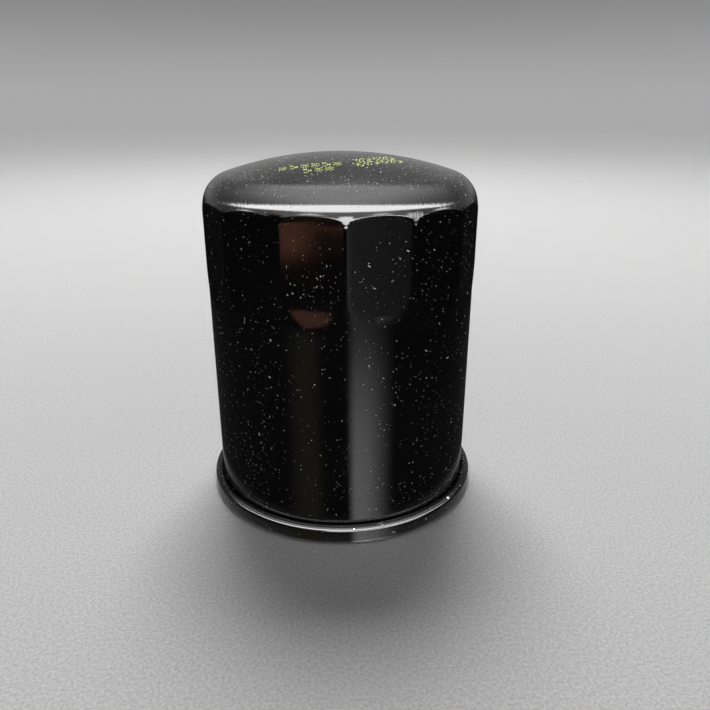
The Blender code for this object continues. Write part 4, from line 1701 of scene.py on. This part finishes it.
@dataclass
class BypassValve:
    """The bypass valve: cage, seat, rubber seal, disc, guide pin and coil spring."""

    cage_inner: float = 9.0 * MM
    cage_wall: float = 0.5 * MM
    cage_low: float = 62.0 * MM
    windows: int = 4
    window: Triple = (6.0 * MM, 5.5 * MM, 6.0 * MM)
    window_rise: float = 6.5 * MM
    flange: float = 13.0 * MM
    flange_low: float = 74.7 * MM
    seat_low: float = 75.5 * MM
    seat_wall: float = 0.7 * MM
    seat_hole: float = 5.0 * MM
    seal_low: float = 73.9 * MM
    disc_low: float = 73.0 * MM
    disc_top: float = 73.6 * MM
    pin: float = 1.5 * MM
    pin_hole: float = 1.9 * MM
    coil: float = 6.2 * MM
    wire: float = 1.0 * MM
    turns: float = 4.5
    spring_low: float = field(default_factory=lambda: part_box("bypass_spring")[0].z)
    spring_high: float = field(default_factory=lambda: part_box("bypass_spring")[1].z)

    def build_cage(self) -> Object:
        """Makes the cage: a drawn cup with a flange and four windows."""
        outer = self.cage_inner + self.cage_wall
        floor = self.cage_low + 0.6 * MM
        flange_top = self.flange_low + self.cage_wall
        r = 0.7 * MM
        section = [(self.flange, flange_top), (self.cage_inner + r * 0.3, flange_top)]
        section += [(self.cage_inner, flange_top - r * 0.3), (self.cage_inner, floor + 0.3 * MM)]
        section += [
            (self.cage_inner - 0.3 * MM, floor), (self.pin_hole, floor),
            (self.pin_hole, self.cage_low)
        ]
        section += arc_path((outer - r, self.cage_low + r), r, 270.0, 360.0, 5)
        section += [(outer, self.flange_low), (self.flange, self.flange_low)]
        piece = turned("valve_cage", Sides.MIDDLE, section)
        place = (outer, 0.0, self.cage_low + self.window_rise)
        punch = block("window_punch", self.window, place)
        soften(punch, 0.8 * MM, 4, 60.0)
        carve(piece, join_pieces(copy_round(punch, self.windows, FULL_TURN * 0.5 / self.windows)))
        return install(piece, Body.HOUSING, "tinplate", TINPLATE, "bypass_cage", smooth=32.0)

    def build_seat(self) -> Object:
        """Makes the seat plate with its crimped rim and a raised sealing lip."""
        inner = self.flange + 0.3 * MM
        outer = inner + self.seat_wall
        top = self.seat_low + self.seat_wall
        low = 74.7 * MM
        section = arc_path((outer - 0.3 * MM, top - 0.3 * MM), 0.3 * MM, 0.0, 90.0, 4)
        section += [
            (9.6 * MM, top), (9.0 * MM, top - 0.12 * MM), (7.4 * MM, top - 0.12 * MM),
            (6.8 * MM, top)
        ]
        section += [(self.seat_hole + 0.15 * MM, top), (self.seat_hole, top - 0.15 * MM)]
        section += [
            (self.seat_hole, self.seat_low), (inner, self.seat_low), (inner, low), (outer, low)
        ]
        piece = turned("valve_seat", Sides.MIDDLE, section)
        return install(piece, Body.HOUSING, "tinplate", TINPLATE, "bypass_seat_plate")

    def build_poppet(self) -> None:
        """Makes what moves together: rubber seal, disc and guide pin."""
        top = self.seat_low - 0.3 * MM
        section = [
            (7.6 * MM, top), (self.pin_hole, top), (self.pin_hole, self.seal_low),
            (7.6 * MM, self.seal_low)
        ]
        seal = turned("valve_seal", Sides.MIDDLE, section)
        soften(seal, 0.16 * MM, 3)
        install(seal, Body.POPPET, "nitrile", NITRILE, "bypass_seal")
        section = [
            (8.2 * MM, self.disc_top), (self.pin_hole, self.disc_top),
            (self.pin_hole, self.disc_low)
        ]
        section += [(8.2 * MM, self.disc_low)]
        disc = turned("valve_disc", Sides.MIDDLE, section)
        soften(disc, 0.1 * MM, 2)
        install(disc, Body.POPPET, "zinc_steel", ZINC, "bypass_disc")
        head_low = top + 0.15 * MM
        head_top = self.seat_low + 0.6 * MM
        collar_top = self.disc_low - 0.3 * MM
        collar_low = collar_top - 0.6 * MM
        tip = self.cage_low - 1.6 * MM
        profile = [
            (0.0, tip), (self.pin - 0.35 * MM, tip), (self.pin, tip + 0.35 * MM),
            (self.pin, collar_low)
        ]
        profile += [
            (2.85 * MM, collar_low), (3.0 * MM, collar_low + 0.15 * MM), (3.0 * MM, collar_top)
        ]
        profile += [(self.pin, collar_top), (self.pin, head_low), (3.2 * MM, head_low)]
        profile += [(3.2 * MM, head_top - 0.45 * MM), (2.9 * MM, head_top - 0.2 * MM)]
        profile += [(2.0 * MM, head_top - 0.04 * MM), (0.0, head_top)]
        pin = rod("guide_pin", Sides.ROD, profile)
        install(pin, Body.POPPET, "zinc_steel", ZINC, "bypass_guide_pin", smooth=34.0)

    def build_spring(self) -> Object:
        """Makes the coil by screwing a wire's section round the axis, with flatter end turns."""
        low = self.spring_low + self.wire / 2
        high = self.spring_high - self.wire / 2
        pick_only(None)
        bpy.ops.mesh.primitive_circle_add(
            vertices=14, radius=self.wire / 2, location=(self.coil, 0.0, low), rotation=(
                math.pi / 2, 0.0, 0.0
            )
        )
        piece = name_piece("valve_spring")
        steps = 160
        apply_modifier(
            piece,
            "SCREW",
            angle=FULL_TURN * self.turns,
            screw_offset=high - low,
            steps=steps,
            render_steps=steps,
            use_merge_vertices=False,
        )
        pick_only(piece)
        bpy.ops.object.mode_set(mode="EDIT")
        bpy.ops.mesh.select_all(action="DESELECT")
        bpy.ops.mesh.select_non_manifold()
        bpy.ops.mesh.edge_face_add()
        close_edit()
        ring = 14
        for number, point in enumerate(piece.data.vertices):
            along = (number // ring) / steps
            even = low + (high - low) * along
            eased = low + (high - low) * (0.75 * along + 0.25 * smooth_step(along))
            point.co.z += eased - even
        shade(piece, 50.0)
        SPRING_STEEL.dress(piece)
        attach(piece, Body.HOUSING.value)
        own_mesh(piece)
        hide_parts("bypass_spring")
        log.info("%s: %d faces, is squeezed by bypass_open", piece.name, len(piece.data.polygons))
        return piece

    def build(self) -> None:
        """Makes every piece of the valve."""
        self.build_cage()
        self.build_seat()
        self.build_poppet()
        self.build_spring()


@dataclass
class SupportSpring:
    """The stamped spring that presses the element down from the dome."""

    low: float = 76.5 * MM
    wall: float = 0.6 * MM
    inner: float = 7.0 * MM
    outer: float = 12.8 * MM
    width: float = 7.0 * MM
    arms: int = 4

    def build(self) -> Object:
        """Makes the ring and its four curved arms, as one piece."""
        high = self.low + self.wall
        ring = turned(
            "leaf_spring",
            Sides.MIDDLE,
            [
                (self.outer, high), (self.inner, high), (self.inner, self.low),
                (self.outer, self.low)
            ],
        )
        path = [
            (10.5, 0.0), (13.0, 0.22), (15.2, 0.95), (17.5, 2.35), (19.2, 3.4), (20.4, 3.95),
            (21.4, 4.0)
        ]
        path += [(21.9, 3.7), (22.4, 3.15)]
        pick_only(None)
        bpy.ops.mesh.primitive_plane_add(size=1.0, location=(0.0, 0.0, self.low))
        arm = bpy.context.object
        arm.scale = (0.4 * MM, self.width, 1.0)
        name_piece("leaf_arm")
        arm.data.transform(Matrix.Translation((path[0][0] * MM, 0.0, 0.0)))
        bpy.ops.object.mode_set(mode="EDIT")
        front = path[0][0] * MM + 0.2 * MM
        select_points(arm, lambda place: place.x > front - WELD)
        last = (front, 0.0)
        span = path[-1][0] - path[0][0]
        narrow = 1.0
        for radius, height in path[1:]:
            extrude((radius * MM - last[0], 0.0, height * MM - last[1]))
            want = 1.0 - 0.25 * (radius - path[0][0]) / span
            bpy.ops.transform.resize(
                value=(1.0, want / narrow, 1.0), center_override=(0.0, 0.0, 0.0)
            )
            narrow = want
            last = (radius * MM, height * MM)
        bpy.ops.object.mode_set(mode="OBJECT")
        apply_modifier(arm, "SOLIDIFY", thickness=self.wall, offset=1.0)
        pick_only(arm)
        bpy.ops.object.mode_set(mode="EDIT")
        close_edit()
        for copy in copy_round(arm, self.arms):
            carve(ring, copy, "UNION")
        soften(ring, 0.1 * MM, 2, 40.0)
        return install(ring, Body.HOUSING, "spring_steel", SPRING_STEEL, "support_spring")


@dataclass
class InkMarks:
    """Rows of marking dots on the dome, in a plain repeating pattern."""

    top: float = 85.0 * MM
    crown_radius: float = 87.0 * MM
    dot: float = 0.19 * MM
    pitch: float = 0.46 * MM
    rows: tuple[tuple[Ring, float, int], ...] = (
        ((-13.4 * MM, -14.9 * MM), 1.0, 6),
        ((-8.2 * MM, -18.2 * MM), 3.0, 3),
        ((2.2 * MM, -15.9 * MM), 37.0, 6),
        ((2.4 * MM, -12.3 * MM), 37.0, 5),
    )

    def on_dome(self, x: float, y: float) -> Vector:
        """The point of the dome above a place in plan."""
        centre = self.top - self.crown_radius
        return Vector((x, y, centre + math.sqrt(self.crown_radius**2 - x * x - y * y)))

    def cells(self) -> list[Ring]:
        """Where the dots go in plan: blocks of a plain check, in rows."""
        patterns = (
            ((1, 0, 1, 0), (0, 1, 0, 1), (1, 0, 1, 0), (0, 1, 0, 1), (1, 0, 1, 0)),
            ((1, 1, 0, 0), (1, 1, 0, 0), (0, 0, 1, 1), (0, 0, 1, 1), (1, 1, 0, 0)),
            ((1, 0, 0, 1), (0, 1, 1, 0), (0, 1, 1, 0), (1, 0, 0, 1), (0, 1, 1, 0)),
        )
        spots = []
        for number, (start, turn, blocks) in enumerate(self.rows):
            angle = math.radians(turn)
            along = Vector((math.cos(angle), math.sin(angle)))
            down = Vector((math.sin(angle), -math.cos(angle)))
            for block in range(blocks):
                pattern = patterns[(block + number) % len(patterns)]
                for row, marks in enumerate(pattern):
                    for column, mark in enumerate(marks):
                        if mark:
                            out = (block * 5 + column) * self.pitch
                            spots.append(
                                tuple(Vector(start) + along * out + down * row * self.pitch * 1.2)
                            )
        return spots

    def build(self) -> Object:
        """Makes one flat dot with a rounded rim, and copies it to every place."""
        pick_only(None)
        bpy.ops.mesh.primitive_circle_add(vertices=8, radius=self.dot, fill_type="NGON")
        dot = name_piece("ink_dots")
        bpy.ops.object.mode_set(mode="EDIT")
        bpy.ops.mesh.select_all(action="SELECT")
        extrude((0.0, 0.0, 0.03 * MM))
        bpy.ops.mesh.inset(thickness=0.05 * MM)
        bpy.ops.transform.translate(value=(0.0, 0.0, 0.01 * MM))
        close_edit()
        chance = random.Random(7)
        copies = []
        for x, y in self.cells():
            x += chance.uniform(-0.04, 0.04) * MM
            y += chance.uniform(-0.04, 0.04) * MM
            foot = self.on_dome(x, y)
            out = (foot - Vector((0.0, 0.0, self.top - self.crown_radius))).normalized()
            copy = dot.copy()
            copy.data = dot.data.copy()
            size = chance.uniform(0.85, 1.12)
            lie = Matrix.Translation(
                foot - out * 0.018 * MM
            ) @ out.to_track_quat("Z", "Y").to_matrix().to_4x4()
            copy.data.transform(lie @ Matrix.Diagonal((size, size, 1.0, 1.0)))
            bpy.context.scene.collection.objects.link(copy)
            copies.append(copy)
        bpy.data.objects.remove(dot, do_unlink=True)
        marks = join_pieces(copies)
        marks.name = "ink_dots"
        marks.data.name = "ink_dots"
        return install(marks, Body.HOUSING, "", MARKING_INK, smooth=60.0)


# ---- studio ------------------------------------------------------------------------------------


@dataclass(frozen=True)
class Lamp:
    """One soft rectangular lamp, aimed at the filter."""

    name: str
    azimuth: float
    elevation: float
    distance: float
    width: float
    height: float
    watts: float

    def build(self) -> Object:
        """Makes the lamp.

        Returns:
            The light object.
        """
        light = bpy.data.lights.new(self.name, "AREA")
        light.shape = "RECTANGLE"
        light.size = self.width
        light.size_y = self.height
        light.energy = self.watts
        lamp = bpy.data.objects.new(self.name, light)
        turn = math.radians(self.azimuth)
        rise = math.radians(self.elevation)
        away = Vector(
            (math.sin(turn) * math.cos(rise), -math.cos(turn) * math.cos(rise), math.sin(rise))
        )
        lamp.location = Vector((0.0, 0.0, 50 * MM)) + away * self.distance
        lamp.rotation_mode = "QUATERNION"
        lamp.rotation_quaternion = away.to_track_quat("Z", "Y")
        lamp.visible_camera = False
        lamp.visible_glossy = False
        bpy.context.scene.collection.objects.link(lamp)
        return lamp


@dataclass
class Studio:
    """Pale floor, soft light and the camera."""

    floor_size: float = 120.0
    floor_tone: float = 0.36
    far_tone: float = 0.40
    camera_place: Triple = (-5.0 * MM, -159.4 * MM, 95.3 * MM)
    camera_pitch: float = -21.08
    camera_heading: float = 3.04
    lens: float = 32.96
    turn_centre: float = 19 * MM
    # Turn bands and colours of the painted floor reflection, which only glossy rays see.
    reflection_wedge: Band = (1.0, 10.0, 12.0, 46.0)
    olive: Band = (-56.0, -34.0, -32.0, -14.0)
    olive_reflection_colour: Colour = (0.23, 0.22, 0.14, 1.0)
    brown: Band = (-34.0, -31.0, -15.0, -12.0)
    brown_reflection_colour: Colour = (3.0, 1.25, 0.75, 1.0)
    warm: Band = (-36.0, -30.0, -18.0, -12.0)
    warm_colour: Colour = (1.5, 0.62, 0.3, 1.0)
    strip_power: float = 28.0
    low_strip: Band = (0.5, 3.0, 12.0, 16.0)
    low_strip_turn: Band = (-34.0, -26.0, 44.0, 74.0)
    low_strip_power: float = 26.0
    lamps: tuple[Lamp, ...] = (
        Lamp("overhead_soft", 180.0, 63.0, 1.1, 0.45, 0.45, 17.0),
        Lamp("back_soft", 180.0, 42.0, 4.0, 4.2, 1.2, 42.0),
        Lamp("front_fill", -8.0, 6.0, 1.5, 1.4, 0.25, 7.0),
    )

    def painted_floor_reflection(self, graph: Graph) -> Value:
        """The painted reflection that glossy rays see on the floor: dark emission, with a grey, an
        olive and a brown part.

        Turns are in degrees round a point behind the axis, and reaches in metres from the axis.
        """
        place = graph.out("NewGeometry", {}, "Position")
        across, along, _ = graph.parts(place)
        turn = graph.math("ARCTAN2", across, (along + self.turn_centre) * -1.0) * DEGREES
        reach = graph.length(place)
        # Painted reflection: a dark base, a brighter ring close to the filter and a grey wedge, all
        # emitted for glossy rays only.
        base = graph.span(reach, 0.05, 0.3, 0.03, 0.012)
        near = graph.span(reach, 36 * MM, 43 * MM, 0.25, 0.0)
        reflection_wedge = graph.band(turn, self.reflection_wedge) * graph.span(reach, 0.05, 0.19, 2.9, 0.58)
        reflection_wedge = reflection_wedge * graph.span(reach, 0.55, 0.95, 1.0, 0.12)
        olive = graph.band(turn, self.olive) * graph.span(reach, 0.16, 0.2, 1.0, 0.0)
        window = graph.band(turn, self.brown)
        sheet = graph.joined(turn * 0.3, reach * 42.0, 0.0)
        reflection_streaks = graph.span(graph.noise(sheet, 1.0, 4.0, 0.7), 0.44, 0.60, 0.10, 0.55)
        reflection_veins = graph.math("ABSOLUTE", graph.noise(sheet, 1.7, 2.0, 0.5) - 0.5)
        edge = graph.span(turn, -28.0, -25.5, 1.0, 0.12)
        left = graph.math("MAXIMUM", edge, graph.span(reach, 0.42, 0.45, 0.0, 0.8))
        brown = window * graph.span(reach, 0.30, 0.35) * (left * reflection_streaks)
        lines = graph.span(reflection_veins, 0.0, 0.035, 1.0, 0.0) * graph.span(reach, 0.32, 0.37)
        brown = graph.math("ADD", brown, lines * (left * window) * 0.8, clamp=True)
        colour = graph.blend(olive, graph.neutral(base + near + reflection_wedge), self.olive_reflection_colour)
        return graph.blend(brown, colour, self.brown_reflection_colour)

    def build_floor(self) -> Object:
        """Makes the floor, plain and pale, with the faint tooth of a painted sheet, and a painted
        reflection pattern that only glossy rays see.
        """
        pick_only(None)
        bpy.ops.mesh.primitive_plane_add(size=self.floor_size, location=(0.0, 0.0, 0.0))
        floor = name_piece("studio_floor")
        made = bpy.data.materials.new("studio_floor")
        made.use_nodes = True
        graph = Graph(made.node_tree)
        shader = made.node_tree.nodes["Principled BSDF"]
        here = graph.place()
        tooth = graph.noise(here, 1700.0, 3.0, 0.7)
        tone = graph.span(tooth, 0.25, 0.75, self.floor_tone * 0.80, self.floor_tone * 1.2)
        graph.feed(shader.inputs["Specular IOR Level"], 0.12)
        graph.coat(shader, graph.neutral(tone), 0.55, tooth, 0.12 * MM, 0.7)
        # Painted reflection: glossy rays see this emission in place of the lit floor.
        glow = graph.out("Emission", {"Color": self.painted_floor_reflection(graph), "Strength": 1.0})
        haze = graph.out("Emission", {"Color": grey(self.far_tone), "Strength": 1.0})
        share = graph.span(graph.length(here), 0.25, 3.2)
        plain = graph.out("MixShader", {0: share, 1: Value(graph, shader.outputs[0]), 2: haze})
        ray = graph.out("LightPath", {}, "Is Glossy Ray")
        output = made.node_tree.nodes["Material Output"]
        graph.feed(output.inputs["Surface"], graph.out("MixShader", {0: ray, 1: plain, 2: glow}))
        floor.data.materials.append(made)
        return floor

    def glossy_room(self, graph: Graph, way: Value) -> Value:
        """What the gloss shows of the room: a ceiling, two strips of light and a warm patch.

        Args:
            graph: The world's tree.
            way: The direction of the ray.

        Returns:
            The colour in that direction.
        """
        across, along, up = graph.parts(way)
        front = along * -1.0
        tilt = graph.math("ARCTAN2", up, front) * DEGREES
        turn = graph.math("ARCTAN2", across, front) * DEGREES
        rise = graph.math("ARCSINE", up) * DEGREES
        aside = graph.math("ABSOLUTE", turn + 3.0)
        wavy = tilt + (graph.noise(way, 4.0, 2.0, 0.5) - 0.5) * 40.0
        ceiling = graph.span(tilt, 48.0, 56.0) * graph.span(wavy, 118.0, 142.0, 1.0, 0.0)
        ceiling = ceiling * graph.span(tilt, 56.0, 120.0, 7.6, 4.4)
        ceiling = ceiling * graph.span(rise, 24.0, 76.0, 0.22, 1.0)
        behind = graph.span(wavy, 140.0, 162.0, 0.22, 0.42) * graph.span(tilt, 90.0, 120.0)
        bow = graph.math("POWER", aside * (1 / 95.0), 2.0)
        strip_half = 12.4 - graph.math("POWER", bow, 0.75) * 10.4
        off = graph.math("ABSOLUTE", rise - (39.2 - bow * 22.5)) / strip_half
        strip = graph.span(off, 0.85, 1.0, 1.0, 0.0) * graph.span(aside, 88.0, 104.0, 1.0, 0.0)
        low_strip = graph.band(rise, self.low_strip) * graph.band(turn, self.low_strip_turn)
        glow = graph.span(rise, 10.0, 16.0) * graph.span(aside, 45.0, 85.0, 1.0, 0.0)
        glow = glow * graph.span(tilt, 50.0, 64.0, 1.0, 0.0)
        glow = glow * graph.span(graph.noise(way, 60.0, 3.0, 0.7), 0.3, 0.7, 1.2, 5.0)
        seen = 0.03 + ceiling + behind + glow
        seen = seen + strip * self.strip_power + low_strip * self.low_strip_power
        warm = graph.band(turn, self.warm) * graph.span(up, 0.0, 0.05)
        warm = warm * graph.span(up, 0.22, 0.30, 1.0, 0.0)
        return graph.blend(warm, graph.neutral(seen), self.warm_colour)

    def build_world(self) -> None:
        """Sets the room: soft grey light, and its own picture for the gloss."""
        world = bpy.data.worlds.new("soft_room")
        bpy.context.scene.world = world
        world.use_nodes = True
        graph = Graph(world.node_tree)
        background = world.node_tree.nodes["Background"]
        way = graph.out("TexCoord", {}, "Generated")
        up = graph.parts(way)[2]
        backdrop = graph.span(up, 0.0, 0.17, self.far_tone, 0.22)
        light = graph.span(up, 0.0, 0.6, 0.02, 0.15)
        camera_ray = graph.out("LightPath", {}, "Is Camera Ray")
        glossy_ray = graph.out("LightPath", {}, "Is Glossy Ray")
        plain = graph.neutral(graph.out("Mix", {0: camera_ray, 2: light, 3: backdrop}))
        colour = graph.blend(glossy_ray, plain, self.glossy_room(graph, way))
        graph.feed(background.inputs["Color"], colour)
        graph.feed(background.inputs["Strength"], 1.0)

    def build_camera(self) -> Object:
        """Makes the camera, which looks slightly down at the filter."""
        lens = bpy.data.cameras.new("camera")
        lens.sensor_width = 36.0
        lens.lens = self.lens
        lens.clip_start = 0.01
        lens.clip_end = 30.0
        camera = bpy.data.objects.new("camera", lens)
        camera.location = self.camera_place
        camera.rotation_euler = (
            math.radians(90.0 + self.camera_pitch), 0.0, -math.radians(self.camera_heading)
        )
        bpy.context.scene.collection.objects.link(camera)
        bpy.context.scene.camera = camera
        return camera

    def build(self) -> None:
        """Makes the whole studio."""
        self.build_floor()
        self.build_world()
        self.build_camera()
        for lamp in self.lamps:
            lamp.build()
        bpy.context.scene.view_settings.view_transform = "Standard"


# ---- all of it ---------------------------------------------------------------------------------


def main() -> None:
    """Builds every sub-assembly in order, then the studio, and logs each piece's face count."""
    logging.basicConfig(level=logging.INFO, format="%(name)s: %(message)s")
    Can().build()
    Mouth().build()
    AntiDrainValve().build()
    Element().build()
    BypassValve().build()
    SupportSpring().build()
    InkMarks().build()
    Studio().build()


if __name__ == "__main__":
    main()
